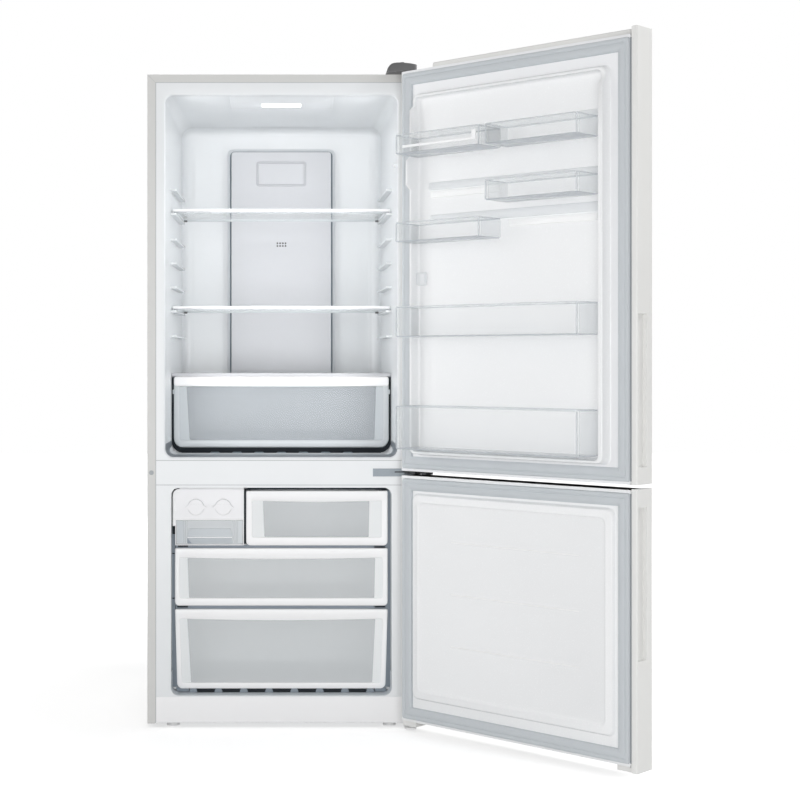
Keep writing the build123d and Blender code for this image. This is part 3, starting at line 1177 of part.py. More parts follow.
def dyke(shrink):
    """The raised ring of the fridge door's liner; shrunk by its skin it is the foam inside."""
    u0, u1, z0, z1 = dyke_edges()
    outer = door_taper(u0 + shrink, u1 - shrink, z0 + shrink, z1 - shrink, -DOOR_LINER,
                       DYKE_HEIGHT - shrink, DYKE_SLOPE, DYKE_ROUND)
    near = DYKE_HINGE_SIDE + DYKE_WALL_HINGE - shrink
    far = CABINET_WIDTH - DYKE_FREE_SIDE - DYKE_WALL_FREE + shrink
    inner = door_slab(near, far, -DOOR_LINER - 1, DYKE_HEIGHT + 1,
                      z0 + DYKE_SLOPE + DYKE_WALL_HINGE - shrink,
                      z1 - DYKE_SLOPE - DYKE_WALL_HINGE + shrink, 0.75 * DYKE_ROUND)
    ring = outer - inner
    step = FRIDGE_CEILING - DYKE_LOW_LENGTH - shrink
    ring -= at_door(0, CABINET_WIDTH, DYKE_LOW_HEIGHT - shrink, DYKE_HEIGHT + 1, step,
                    FRIDGE_CEILING)
    pad_top = FRIDGE_CEILING - DYKE_PAD_DROP - shrink
    pad_low = FRIDGE_CEILING - DYKE_PAD_DROP - DYKE_PAD_LENGTH + shrink
    return ring + at_door(DYKE_HINGE_SIDE + shrink, near, DYKE_HEIGHT / 2,
                          DYKE_PAD_HEIGHT - shrink, pad_low, pad_top)


def lug_places(u0, u1, z0, height):
    """Each bin hangs on two lugs: their places along the door and the lugs' top."""
    top = z0 + height - LUG_DROP
    return [(u0 + LUG_INSET, top), (u1 - LUG_INSET, top)]


BINS = {
    "top_left_bin": (BIN_HINGE_END, BIN_MIDDLE_LEFT, TOP_BINS_Z, HALF_BIN_HEIGHT),
    "top_right_bin": (BIN_MIDDLE_RIGHT, BIN_FREE_END, TOP_BINS_Z, HALF_BIN_HEIGHT),
    "middle_right_bin": (BIN_MIDDLE_RIGHT, BIN_FREE_END, SECOND_RIGHT_BIN_Z, HALF_BIN_HEIGHT),
    "middle_left_bin": (BIN_HINGE_END, BIN_MIDDLE_LEFT, SECOND_LEFT_BIN_Z, HALF_BIN_HEIGHT),
    "wide_bin": (BIN_HINGE_END, BIN_FREE_END, THIRD_BIN_Z, THIRD_BIN_HEIGHT),
    "bottle_bin": (BIN_HINGE_END, BIN_FREE_END, BOTTOM_BIN_Z, BOTTOM_BIN_HEIGHT),
}


def fridge_door_liner():
    z0, z1 = FRIDGE_DOOR_BOTTOM, FRIDGE_DOOR_TOP
    plate = at_door(DOOR_SHEET, STRIP_START - DOOR_SHEET, -DOOR_LINER, 0, z0, z1)
    liner = plate + dyke(0)
    liner -= dyke(DYKE_SKIN)
    for u0, u1, bottom, height in BINS.values():
        for u, top in lug_places(u0, u1, bottom, height):
            liner += at_door(u - LUG_WIDTH / 2, u + LUG_WIDTH / 2, -0.5, LUG_REACH,
                             top - LUG_HEIGHT, top)
    return liner


def freezer_panel(shrink):
    rim = GASKET_INSET + GASKET_WIDTH
    u0 = rim + FREEZER_PANEL_HINGE + shrink
    u1 = STRIP_START - 2 - GASKET_WIDTH - FREEZER_PANEL_FREE - shrink
    z0 = FREEZER_DOOR_BOTTOM + rim + FREEZER_PANEL_LOW + shrink
    z1 = FREEZER_DOOR_TOP - rim - FREEZER_PANEL_HIGH - shrink
    return door_taper(u0, u1, z0, z1, -DOOR_LINER, FREEZER_PANEL_HEIGHT - shrink,
                      FREEZER_PANEL_SLOPE, DYKE_ROUND)


def freezer_door_liner():
    z0, z1 = FREEZER_DOOR_BOTTOM, FREEZER_DOOR_TOP
    plate = at_door(DOOR_SHEET, STRIP_START - DOOR_SHEET, -DOOR_LINER, 0, z0, z1)
    return plate + freezer_panel(0) - freezer_panel(DYKE_SKIN)


def door_bin(u0, u1, z0, height):
    back = BIN_BACK_GAP
    tub = at_door(u0, u1, back, BIN_DEPTH, z0, z0 + height)
    corners = tub.edges().filter_by(Axis.Z).group_by(Axis.Y)[-1]
    tub = fillet(corners, BIN_ROUND)
    hollow = at_door(u0 + BIN_WALL, u1 - BIN_WALL, back + BIN_BACK, BIN_DEPTH - BIN_WALL,
                     z0 + BIN_WALL, z0 + height + 1)
    corners = hollow.edges().filter_by(Axis.Z).group_by(Axis.Y)[-1]
    tub -= fillet(corners, BIN_ROUND - BIN_WALL)
    for u, top in lug_places(u0, u1, z0, height):
        side = LUG_WIDTH / 2 + LUG_CLEARANCE
        tub -= at_door(u - side, u + side, back - 1, LUG_REACH + LUG_CLEARANCE, z0 - 1, top)
    return tub


# ---- build every piece ----
save("outer_wrap", outer_wrap())
save("back_panel", back_panel())
save("base_pan", base_pan())
save("cabinet_foam", cabinet_foam())
save("fridge_liner", fridge_liner())
save("freezer_liner", freezer_liner())
save("mullion_cover", mullion_cover())
save("base_panel", base_panel())
save("hole_plug", hole_plug())
save("door_hinges", door_hinges())
save("hinge_screws", hinge_screws())
save("top_hinge_cover", top_hinge_cover())
save("lamp_housing", lamp_housing())
save("lamp_lens", lamp_lens())
save("air_duct_cover", air_duct_cover())
save("crisper_cover_frame", crisper_cover_frame())
save("crisper_cover_glass", crisper_pane(0, 0))
save("freezer_back_cover", freezer_back_cover())
save("evaporator", evaporator())
save("defrost_heater", defrost_heater())
save("fan_motor", fan_motor())
save("ice_maker_housing", ice_maker_housing())
save("compressor", compressor())
save("compressor_mounts", compressor_mounts())
save("drip_tray", drip_tray())
save("condenser", condenser())
save("compressor_cover", compressor_cover())
save("power_inlet", power_inlet())
save("fan_blade", fan_blade())
save("crisper_drawer", crisper_drawer())
save("top_freezer_drawer", freezer_drawer(TOP_DRAWER_LEFT, TOP_DRAWER_Z, TOP_DRAWER_HEIGHT))
save("middle_freezer_drawer",
     freezer_drawer(-FREEZER_DRAWER_HALF, MIDDLE_DRAWER_Z, MIDDLE_DRAWER_HEIGHT))
save("bottom_freezer_drawer",
     freezer_drawer(-FREEZER_DRAWER_HALF, BOTTOM_DRAWER_Z, BOTTOM_DRAWER_HEIGHT))
save("left_ice_tray", ice_tray(KNOB_X[0]))
save("right_ice_tray", ice_tray(KNOB_X[1]))
save("ice_bin", ice_bin())
for shelf, shelf_top in SHELF_TOPS.items():
    save(shelf + "_frame", shelf_frame(shelf_top))
    save(shelf + "_glass", shelf_pane(shelf_top, 0, 0))
save("left_front_foot", front_foot(-1))
save("right_front_foot", front_foot(1))
save("rear_rollers", rear_rollers())
save("door_switch_plunger", switch_plunger())

save("fridge_door_skin", opened(door_skin(FRIDGE_DOOR_BOTTOM, FRIDGE_DOOR_TOP)))
save("fridge_door_foam",
     opened(door_foam(FRIDGE_DOOR_BOTTOM, FRIDGE_DOOR_TOP) + dyke(DYKE_SKIN)))
save("fridge_door_liner", opened(fridge_door_liner()))
save("fridge_door_gasket", opened(door_gasket(FRIDGE_DOOR_BOTTOM, FRIDGE_DOOR_TOP)))
save("fridge_door_trim", opened(fridge_door_trim()))
for bin_name, bin_size in BINS.items():
    save(bin_name, opened(door_bin(*bin_size)))
save("freezer_door_skin", opened(door_skin(FREEZER_DOOR_BOTTOM, FREEZER_DOOR_TOP)))
save("freezer_door_foam",
     opened(door_foam(FREEZER_DOOR_BOTTOM, FREEZER_DOOR_TOP) + freezer_panel(DYKE_SKIN)))
save("freezer_door_liner", opened(freezer_door_liner()))
save("freezer_door_gasket", opened(door_gasket(FREEZER_DOOR_BOTTOM, FREEZER_DOOR_TOP)))
save("freezer_door_trim", opened(freezer_door_trim()))
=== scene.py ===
import json
import math

import bmesh
import bpy
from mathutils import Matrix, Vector


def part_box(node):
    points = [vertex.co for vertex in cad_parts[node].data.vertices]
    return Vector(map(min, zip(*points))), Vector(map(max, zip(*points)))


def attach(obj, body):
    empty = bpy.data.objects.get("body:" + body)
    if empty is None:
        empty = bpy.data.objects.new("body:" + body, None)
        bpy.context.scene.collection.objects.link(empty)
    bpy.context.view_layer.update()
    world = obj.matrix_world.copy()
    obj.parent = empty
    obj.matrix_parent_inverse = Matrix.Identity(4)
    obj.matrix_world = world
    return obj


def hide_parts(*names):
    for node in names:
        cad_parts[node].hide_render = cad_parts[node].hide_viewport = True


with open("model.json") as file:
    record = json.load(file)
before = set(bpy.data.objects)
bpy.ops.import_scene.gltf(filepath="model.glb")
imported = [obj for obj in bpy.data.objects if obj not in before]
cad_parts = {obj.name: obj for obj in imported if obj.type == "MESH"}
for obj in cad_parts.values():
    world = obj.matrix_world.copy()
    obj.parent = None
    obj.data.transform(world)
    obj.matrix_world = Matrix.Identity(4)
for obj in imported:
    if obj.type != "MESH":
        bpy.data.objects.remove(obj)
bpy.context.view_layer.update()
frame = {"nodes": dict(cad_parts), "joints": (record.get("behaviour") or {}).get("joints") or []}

MM = 0.001

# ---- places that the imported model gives, in millimetres ----
SWING = next(j for j in frame["joints"] if j["name"] == "fridge_door_swing")
HINGE_X, HINGE_Y = (v / MM for v in SWING["pos_m"][:2])
DOOR_TURN = math.radians(-SWING["range_deg"][0])


def box(node):
    """x0, x1, y0, y1, z0, z1 of a CAD node, in millimetres."""
    low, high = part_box(node)
    return tuple(v / MM for pair in zip(low, high) for v in pair)


WRAP = box("outer_wrap")
HALF = WRAP[1]
FRONT = WRAP[2]
DOOR_GAP = 10.0  # from the cabinet's front to the inner face of the closed doors
DOOR_PLANE = FRONT - DOOR_GAP


# ---- ways of placing a drawn outline ----
def at_front(y):
    return lambda a, b: (a, y, b)


def at_level(z):
    return lambda a, b: (a, b, z)


def from_side(x):
    return lambda a, b: (x, a, b)


def on_door(u, w, z):
    """A point of an open door: u from the hinge side, w inwards from the inner face."""
    x = HALF - u - HINGE_X
    y = DOOR_PLANE + w - HINGE_Y
    c, s = math.cos(DOOR_TURN), math.sin(DOOR_TURN)
    return (HINGE_X + x * c - y * s, HINGE_Y + x * s + y * c, z)


def door_front(w):
    return lambda u, z: on_door(u, w, z)


def door_level(z):
    return lambda u, w: on_door(u, w, z)


# ---- outlines ----
def quarter(steps):
    """The angles of a quarter turn, in equal steps from 0 to 90 degrees."""
    return [math.radians(90 * i / steps) for i in range(steps + 1)]


def rounded(a0, a1, b0, b1, radius, steps=8, chamfer=(), top=0):
    """A rounded rectangle as (a, b) pairs; radius may be one value or one for each corner.
    Corners run bottom right, top right, top left, bottom left; top adds points along the top."""
    radii = [radius] * 4 if isinstance(radius, (int, float)) else list(radius)
    centres = ((a1, b0, -1, 1), (a1, b1, -1, -1), (a0, b1, 1, -1), (a0, b0, 1, 1))
    points = []
    for corner, (a, b, in_a, in_b) in enumerate(centres):
        r = radii[corner]
        for i in range(steps + 1):
            if corner in chamfer:
                t = i / steps
                if corner % 2 == 0:
                    points.append((a + in_a * r * (1 - t), b + in_b * r * t))
                else:
                    points.append((a + in_a * r * t, b + in_b * r * (1 - t)))
                continue
            turn = math.radians(90 * corner - 90 + 90 * i / steps)
            points.append((a + in_a * r + r * math.cos(turn), b + in_b * r + r * math.sin(turn)))
        if corner == 1:
            start, end = a1 - r, a0 + radii[2]
            for i in range(1, top + 1):
                points.append((start + (end - start) * i / (top + 1), b))
    return points


def placed(outline, place):
    """An outline's points in space, in metres."""
    return [Vector(place(a, b)) * MM for a, b in outline]


# ---- building pieces ----
def settle(name, bm, body, finish, bevel, segments, nodes, sharp):
    """Makes a bmesh a piece with its finish and eased edges, on its body, for its CAD nodes."""
    for edge in bm.edges:
        edge.smooth = len(edge.link_faces) == 2 and edge.calc_face_angle(0) < math.radians(sharp)
    for face in bm.faces:
        face.smooth = True
    mesh = bpy.data.meshes.new(name)
    bm.to_mesh(mesh)
    bm.free()
    mesh.materials.append(finish)
    piece = bpy.data.objects.new(name, mesh)
    bpy.context.scene.collection.objects.link(piece)
    if bevel:
        edges = piece.modifiers.new("edges", "BEVEL")
        edges.width = bevel * MM
        edges.segments = segments
        edges.limit_method = "ANGLE"
        edges.angle_limit = math.radians(sharp)
        edges.harden_normals = True
    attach(piece, body)
    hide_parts(*nodes)
    return piece


def new_piece(name, bm, body, finish, bevel=0.0, segments=2, nodes=(), sharp=35):
    """A piece from a drawn shape, its faces turned outwards."""
    bmesh.ops.remove_doubles(bm, verts=bm.verts, dist=1e-7)
    bmesh.ops.recalc_face_normals(bm, faces=bm.faces)
    return settle(name, bm, body, finish, bevel, segments, nodes, sharp)


def skin_over(bm, rings, ends=(True, True), closed=False):
    """Joins outlines of equal count with quads, and caps the ends or closes the loop."""
    rows = [[bm.verts.new(p) for p in ring] for ring in rings]
    count = len(rows[0])
    pairs = list(zip(rows, rows[1:]))
    if closed:
        pairs.append((rows[-1], rows[0]))
    for near, far in pairs:
        for i in range(count):
            j = (i + 1) % count
            bm.faces.new((near[i], near[j], far[j], far[i]))
    if not closed and ends[0]:
        bm.faces.new(list(reversed(rows[0])))
    if not closed and ends[1]:
        bm.faces.new(rows[-1])


def loft(rings, ends=(True, True), closed=False):
    """A new bmesh with one skin over the outlines."""
    bm = bmesh.new()
    skin_over(bm, rings, ends, closed)
    return bm


def as_given(x, y, z):
    return (x, y, z)


def add_block(bm, x0, x1, y0, y1, z0, z1, place=as_given):
    """A plain block in a bmesh, to be given its edges by the piece's bevel."""
    corners = [Vector(place(x, y, z)) * MM for z in (z0, z1) for x, y in
               ((x0, y0), (x1, y0), (x1, y1), (x0, y1))]
    v = [bm.verts.new(c) for c in corners]
    for quad in ((0, 3, 2, 1), (4, 5, 6, 7), (0, 1, 5, 4), (1, 2, 6, 5), (2, 3, 7, 6),
                 (3, 0, 4, 7)):
        bm.faces.new([v[i] for i in quad])


def blocks(rows, place=as_given):
    """Plain blocks, each x0, x1, y0, y1, z0, z1, in one bmesh."""
    bm = bmesh.new()
    for row in rows:
        add_block(bm, *row, place)
    return bm


def dress(node, body, finish, bevel=0.0, segments=2, sharp=30, name=None, keep=None):
    """The CAD node's own shape, or its solids in a band of height, with its edges eased."""
    bm = bmesh.new()
    bm.from_mesh(frame["nodes"][node].data)
    bmesh.ops.remove_doubles(bm, verts=bm.verts, dist=2e-6)
    if keep:
        low, high = keep
        away = [v for v in bm.verts if not low <= v.co.z / MM <= high]
        bmesh.ops.delete(bm, geom=away, context="VERTS")
    bmesh.ops.dissolve_limit(bm, angle_limit=math.radians(0.5), verts=bm.verts, edges=bm.edges)
    return settle(name or node + "_dressed", bm, body, finish, bevel, segments, (node,),
                  sharp)


# ---- finishes ----
def linear(hex_code):
    """An sRGB hex colour as linear RGBA."""
    values = [int(hex_code[i:i + 2], 16) / 255 for i in (1, 3, 5)]
    return tuple(v / 12.92 if v <= 0.04045 else ((v + 0.055) / 1.055) ** 2.4
                 for v in values) + (1.0,)


def add(tree, kind, links=None, **settings):
    """Adds one node with its settings, and with a link or a value for each socket in links."""
    made = tree.nodes.new(kind)
    for key, value in settings.items():
        socket = key if key in made.inputs.keys() else key.replace("_", " ")
        if socket in made.inputs.keys():
            made.inputs[socket].default_value = value
        else:
            setattr(made, key, value)
    for socket, source in (links or {}).items():
        if isinstance(source, bpy.types.NodeSocket):
            tree.links.new(source, made.inputs[socket])
        else:
            made.inputs[socket].default_value = source
    return made


def new_material(name):
    material = bpy.data.materials.new(name)
    material.use_nodes = True
    tree = material.node_tree
    tree.nodes.clear()
    return material, tree


PLASTIC_IOR = 1.5
GLOSS_DRIFT = 0.06  # how far the grain moves the roughness either way
SHADOW_LOSS = 0.85  # share of its shadow that a clear sheet loses


def moulded(name, colour, shade, roughness, grain_mm, bump, metallic=0.0, blotch_mm=180.0,
            alpha=None, emission=0.0):
    """Colour that drifts a little over the surface, with a fine grain in its gloss and bump.
    alpha is how much a clear sheet covers at a straight look and at a glancing one."""
    material, tree = new_material(name)
    where = add(tree, "ShaderNodeTexCoord").outputs["Object"]
    blotch = add(tree, "ShaderNodeTexNoise", {"Vector": where}, Scale=1 / (blotch_mm * MM),
                 Detail=3.0, Roughness=0.5)
    tint = add(tree, "ShaderNodeMix", {"Factor": blotch.outputs["Fac"]}, data_type="RGBA",
               A=linear(colour), B=linear(shade))
    grain = add(tree, "ShaderNodeTexNoise", {"Vector": where}, Scale=1 / (grain_mm * MM),
                Detail=4.0, Roughness=0.6)
    gloss = add(tree, "ShaderNodeMapRange", {"Value": grain.outputs["Fac"]},
                To_Min=max(0.02, roughness - GLOSS_DRIFT), To_Max=roughness + GLOSS_DRIFT)
    relief = add(tree, "ShaderNodeBump", {"Height": grain.outputs["Fac"]}, Strength=bump,
                 Distance=0.1 * MM)
    shader = add(tree, "ShaderNodeBsdfPrincipled",
                 {"Base Color": tint.outputs["Result"], "Roughness": gloss.outputs["Result"],
                  "Normal": relief.outputs["Normal"]}, Metallic=metallic)
    if not metallic:
        shader.inputs["IOR"].default_value = PLASTIC_IOR
    if emission:
        shader.inputs["Emission Color"].default_value = linear(colour)
        shader.inputs["Emission Strength"].default_value = emission
    if alpha:
        edge = add(tree, "ShaderNodeLayerWeight", Blend=0.5)
        glance = add(tree, "ShaderNodeMath", {0: edge.outputs["Facing"], 1: 4.0},
                     operation="POWER")
        clear = add(tree, "ShaderNodeMapRange", {"Value": glance.outputs["Value"]},
                    To_Min=alpha[0], To_Max=alpha[1])
        path = add(tree, "ShaderNodeLightPath")
        lit = add(tree, "ShaderNodeMath",
                  {0: path.outputs["Is Shadow Ray"], 1: -SHADOW_LOSS, 2: 1.0},
                  operation="MULTIPLY_ADD")
        cover = add(tree, "ShaderNodeMath", {0: clear.outputs["Result"], 1: lit.outputs["Value"]},
                    operation="MULTIPLY")
        tree.links.new(cover.outputs["Value"], shader.inputs["Alpha"])
    add(tree, "ShaderNodeOutputMaterial", {"Surface": shader.outputs["BSDF"]})
    return material


# Powder-coated steel: a satin skin with a faint orange peel of about 2 mm.
STEEL_PAINT = moulded("powder_coated_steel", "#D6D6D4", "#D2D2D0", 0.38, 2.0, 0.05)
DOOR_PAINT = moulded("door_enamel", "#E7E7E4", "#E3E3E0", 0.34, 2.0, 0.05)
CAP_ABS = moulded("satin_door_cap", "#E9E9E7", "#E4E4E2", 0.36, 1.5, 0.05)
# Vacuum-formed polystyrene: smooth and glossy, with slow thickness drift.
LINER = moulded("vacuum_formed_polystyrene", "#EDEFF1", "#E9ECEE", 0.24, 3.0, 0.03)
DOOR_LINER = moulded("door_liner_polystyrene", "#F4F5F6", "#F1F2F3", 0.26, 3.0, 0.03)
# The door sheet's flat outer rim beside the seal, a little greyer than the sheet: painted shade.
DOOR_SHEET_RIM_SHADE = moulded("door_sheet_rim_painted_shade", "#F2F3F5", "#EEEFF1", 0.3, 3.0, 0.03)
# The same sheet where it lies in the shade of a drawer.
SHADED_LINER = moulded("floor_rib_polystyrene", "#77838D", "#6F7B85", 0.4, 3.0, 0.03)
# Injection-moulded ABS: the whitest parts, with an even satin gloss.
WHITE_ABS = moulded("white_moulded_abs", "#FBFBFC", "#F9F9FA", 0.22, 1.2, 0.03)
DUCT_ABS = moulded("satin_duct_abs", "#DADBDE", "#D6D7DB", 0.42, 1.0, 0.05)
DARK_ABS = moulded("dark_grey_moulded_abs", "#666667", "#5F5F60", 0.45, 0.8, 0.12)
BLACK_ABS = moulded("black_moulded_abs", "#15181C", "#101317", 0.5, 0.8, 0.1)
# Near-white ABS of the lower hinge; on the front feet this near-white is painted light, lifting
# them out of their shade under the base.
PALE_AND_LIT_ABS = moulded("pale_abs_and_painted_light", "#FAFAFA", "#F6F6F6", 0.4, 0.8, 0.08)
SEAM = moulded("grey_joint_sealant", "#B3B7BA", "#ABAFB2", 0.7, 1.2, 0.1)
# A grey line where the seal meets the door's edge strip: painted shade of the gap between them.
EDGE_GAP = moulded("shaded_seal_edge", "#969BA0", "#8F9499", 0.6, 1.2, 0.08)
# Soft PVC of the magnetic seal: matt, with extrusion drift.
SEAL = moulded("soft_seal_pvc", "#C9CED2", "#C4C9CD", 0.55, 1.5, 0.08)
FOAM_SEAL = moulded("pale_foam_strip", "#EBEEF1", "#E7EAED", 0.85, 1.2, 0.3)
# Phosphated steel of the hinge plate: a blue-grey matt skin over the metal.
HINGE_GREY = moulded("grey_phosphated_steel", "#9BA3AA", "#939BA2", 0.55, 1.0, 0.06, metallic=0.25)
# Hot-dipped sheet: a dull metal with crystals of about 25 mm.
GALVANISED = moulded("galvanised_sheet", "#B4B8BB", "#A4A8AC", 0.42, 6.0, 0.05, metallic=0.8,
                     blotch_mm=25.0)
# Drawn tube and fins: a bright, even metal.
COIL = moulded("drawn_aluminium", "#C4C7CA", "#B9BCC0", 0.35, 1.0, 0.05, metallic=0.9)
# Baked enamel on the compressor and its condenser: a satin black.
ENAMEL_BLACK = moulded("black_stoving_enamel", "#1A1B1D", "#151618", 0.35, 1.5, 0.08)
# Moulded rubber: matt and nearly black.
RUBBER = moulded("black_rubber", "#1B1B1B", "#151515", 0.7, 0.8, 0.15)
# Blown polyurethane: yellow, matt and full of fine cells.
FOAM = moulded("polyurethane_foam", "#E8D9A0", "#DECB8C", 0.9, 2.5, 0.6)
# Grey satin ABS of the crisper cover's frame; on the duct's label frame the same grey is painted
# shade, darker than the duct it is moulded on.
GREY_FRAME_AND_SHADE = moulded("grey_frame_and_painted_shade", "#C9CACE", "#C4C5C9", 0.4, 1.0, 0.05)
# The liner's floor edges, which lie in the shade of the drawers.
APRON = moulded("shaded_floor_edge", "#858C93", "#7E858C", 0.45, 3.0, 0.04)
APRON_DARK = moulded("painted_shade_freezer_floor_edge", "#CFD4D9", "#C9CFD4", 0.45, 3.0, 0.04)
# Frosted lens with the lamp on behind it: an even white glow.
LAMP_GLOW = moulded("frosted_lamp_lens", "#FFFFFF", "#FAFBFC", 0.4, 1.0, 0.05, emission=0.9)
# Painted shade: dark grey, black and grey sheets behind the white parts, which the gaps show as
# dark lines; their colours stand in for the shade in those gaps.
DEEP_GAP_SHADE = moulded("painted_deep_gap_shade", "#6F7C88", "#687580", 0.9, 1.2, 0.3)
BLACK_GAP_SHADE = moulded("painted_black_gap_shade", "#121C24", "#0E1820", 0.75, 1.0, 0.15)
GREY_GAP_SHADE = moulded("painted_grey_gap_shade", "#8A949E", "#818B95", 0.5, 1.0, 0.06)
# Frosted polystyrene of the crisper's front: milky, slightly see-through.
FROSTED = moulded("frosted_polystyrene", "#D9DEE1", "#D4D9DC", 0.3, 1.5, 0.04, alpha=(0.88, 0.97))
FROSTED_STRIP = moulded("thin_frosted_polystyrene", "#D3D9DD", "#CDD3D8", 0.3, 1.5, 0.04,
                        alpha=(0.72, 0.95))
BEZEL_ABS = moulded("satin_white_bezel", "#EEF0F1", "#EAEDEE", 0.35, 1.2, 0.04)
# Milky polystyrene of the tubs, seen through the windows as a soft grey.
TUB = moulded("milky_drawer_tub", "#EDF0F2", "#E8ECEE", 0.3, 2.0, 0.04)
TUB_BLUE = moulded("milky_crisper_tub", "#C4CACF", "#BFC5CA", 0.3, 2.0, 0.04)
# Clear styrene-acrylonitrile: seen through where it faces the eye, grey at its edges.
CLEAR = moulded("clear_styrene_acrylonitrile", "#F1F4F5", "#ECF0F1", 0.08, 3.0, 0.02,
                alpha=(0.07, 0.6))
CLEAR_FLOOR = moulded("clear_plastic_floor", "#C9CFD5", "#C3C9CF", 0.15, 3.0, 0.02,
                      alpha=(0.4, 0.85))
CLEAR_END = moulded("clear_plastic_end", "#DDE2E5", "#D8DDE1", 0.1, 2.0, 0.02, alpha=(0.2, 0.6))
CLEAR_EDGE = moulded("clear_plastic_edge", "#D3D9DC", "#CDD3D7", 0.12, 2.0, 0.03,
                     alpha=(0.42, 0.85))
# Smoky polystyrene of the drawers' windows.
SMOKY = moulded("smoky_drawer_window", "#E9ECEE", "#E5E9EB", 0.16, 2.0, 0.03, alpha=(0.46, 0.95))
SMOKY_BLUE = moulded("blue_grey_drawer_window", "#B8BDC2", "#B3B9BE", 0.14, 2.0, 0.03,
                     alpha=(0.3, 0.95))
# White for the bands pressed across the door's field, brighter than the sheet round them, and for
# the freezer door's ridges, where the white is painted light against their dark shading.
WHITE_BAND_AND_LIT_RIDGE = moulded("white_band_and_painted_light", "#FFFFFF", "#FCFDFD", 0.3, 2.0, 0.03)
# The bin rails' bands, greyer than the sheet they are pressed in: painted shade of the rails'
# hollows.
RAIL_BAND_SHADE = moulded("pressed_rail_painted_shade", "#EBEDEF", "#E7EAEC", 0.3, 3.0, 0.03)
SMOKY_GREY = moulded("grey_drawer_window", "#DDE1E3", "#D9DDE0", 0.16, 2.0, 0.03, alpha=(0.5, 0.95))
# The ice bin's thicker sheet, which hides more of what is behind it; ICE_SHADE is that sheet
# darker, painted shade in the grip's hollow.
ICE_CLEAR = moulded("clear_ice_bin", "#DADEE1", "#D4D9DC", 0.12, 2.0, 0.03, alpha=(0.7, 0.95))
ICE_SHADE = moulded("ice_bin_hollow_painted_shade", "#BFC5CA", "#B9C0C6", 0.15, 2.0, 0.03,
                    alpha=(0.75, 0.95))
# Tempered glass: clear, with a pale edge at a glancing look.
SHELF_GLASS = moulded("tempered_shelf_glass", "#F0F4F4", "#ECF1F1", 0.03, 5.0, 0.0,
                      alpha=(0.14, 0.6))

# The ice maker's mouldings, a little softer in tone than the fronts.
ICE_WHITE = moulded("white_ice_maker_abs", "#F2F2F4", "#EFEFF1", 0.24, 1.2, 0.03)
ICE_FRAME = moulded("satin_ice_maker_band", "#C9CED2", "#C4C9CD", 0.4, 1.2, 0.05)

# ---- cabinet ----
for node, body, finish, ease, slot in (
        ("outer_wrap", "cabinet", STEEL_PAINT, 0.8, "painted_steel"),
        ("back_panel", "cabinet", GALVANISED, 0.3, "galvanised"),
        ("base_pan", "cabinet", GALVANISED, 0.3, "galvanised"),
        ("base_panel", "cabinet", WHITE_ABS, 0.0, "white_trim"),
        ("mullion_cover", "cabinet", LINER, 0.4, "painted_steel"),
        ("hole_plug", "cabinet", SEAM, 0.2, "white_trim"),
        ("hinge_screws", "cabinet", HINGE_GREY, 0.4, "hinge_steel"),
        ("freezer_back_cover", "cabinet", WHITE_ABS, 0.4, "white_trim"),
        ("evaporator", "cabinet", COIL, 0.0, "coil_aluminium"),
        ("defrost_heater", "cabinet", GALVANISED, 0.0, "galvanised"),
        ("fan_motor", "cabinet", DARK_ABS, 0.5, "dark_plastic"),
        ("compressor", "cabinet", ENAMEL_BLACK, 0.8, "compressor_black"),
        ("compressor_mounts", "cabinet", RUBBER, 0.8, "mount_rubber"),
        ("drip_tray", "cabinet", BLACK_ABS, 0.8, "dark_plastic"),
        ("condenser", "cabinet", ENAMEL_BLACK, 0.0, "compressor_black"),
        ("compressor_cover", "cabinet", GALVANISED, 0.2, "galvanised"),
        ("power_inlet", "cabinet", BLACK_ABS, 0.4, "dark_plastic"),
        ("cabinet_foam", "cabinet", FOAM, 0.0, "foam"),
        ("fan_blade", "fan_blade", WHITE_ABS, 0.3, "white_trim"),
        # The front feet's near-white is painted light over their shade under the base.
        ("left_front_foot", "left_front_foot", PALE_AND_LIT_ABS, 0.5, "dark_plastic"),
        ("right_front_foot", "right_front_foot", PALE_AND_LIT_ABS, 0.5, "dark_plastic"),
        ("rear_rollers", "rear_rollers", DARK_ABS, 0.8, "dark_plastic"),
        ("door_switch_plunger", "door_switch_plunger", WHITE_ABS, 0.3, "white_trim")):
    dress(node, body, finish, ease)
dress("door_hinges", "cabinet", HINGE_GREY, 0.4, keep=(200.0, 2000.0))
dress("door_hinges", "cabinet", PALE_AND_LIT_ABS, 0.4, name="lower_hinge_dressed",
      keep=(0.0, 200.0))
dress("freezer_liner", "cabinet", LINER, 1.6, 3)

MULLION = box("mullion_cover")
for seam_name, seam_z in (("mullion_upper_seam", MULLION[5]), ("mullion_lower_seam", MULLION[4])):
    # A thin joint line that stands 0.3 mm proud of the front face.
    seam = blocks([(MULLION[0], MULLION[1], MULLION[2] - 0.3, MULLION[2] + 0.6, seam_z - 0.7,
                    seam_z + 0.7)])
    new_piece(seam_name, seam, "cabinet", SEAM, 0.1, 1, nodes=("mullion_cover",))


def corner_mitre(side):
    """The fold line where the wrap's top and side flanges meet."""
    bm = bmesh.new()
    outer, inner, half = side * (HALF - 0.5), side * (HALF - 21.0), 0.35
    z0, z1 = WRAP[5] - 21.0, WRAP[5] - 0.5
    outline = [(outer - half, z1), (outer + half, z1), (inner + half, z0), (inner - half, z0)]
    skin_over(bm, [placed(outline, at_front(y)) for y in (FRONT - 0.25, FRONT + 0.3)])
    return new_piece("corner_fold_%s" % ("left" if side < 0 else "right"), bm, "cabinet", SEAM,
                     nodes=("outer_wrap",))


corner_mitre(-1)
corner_mitre(1)


FLANGE = HALF - 21.5  # inner edge of the steel wrap's front flange


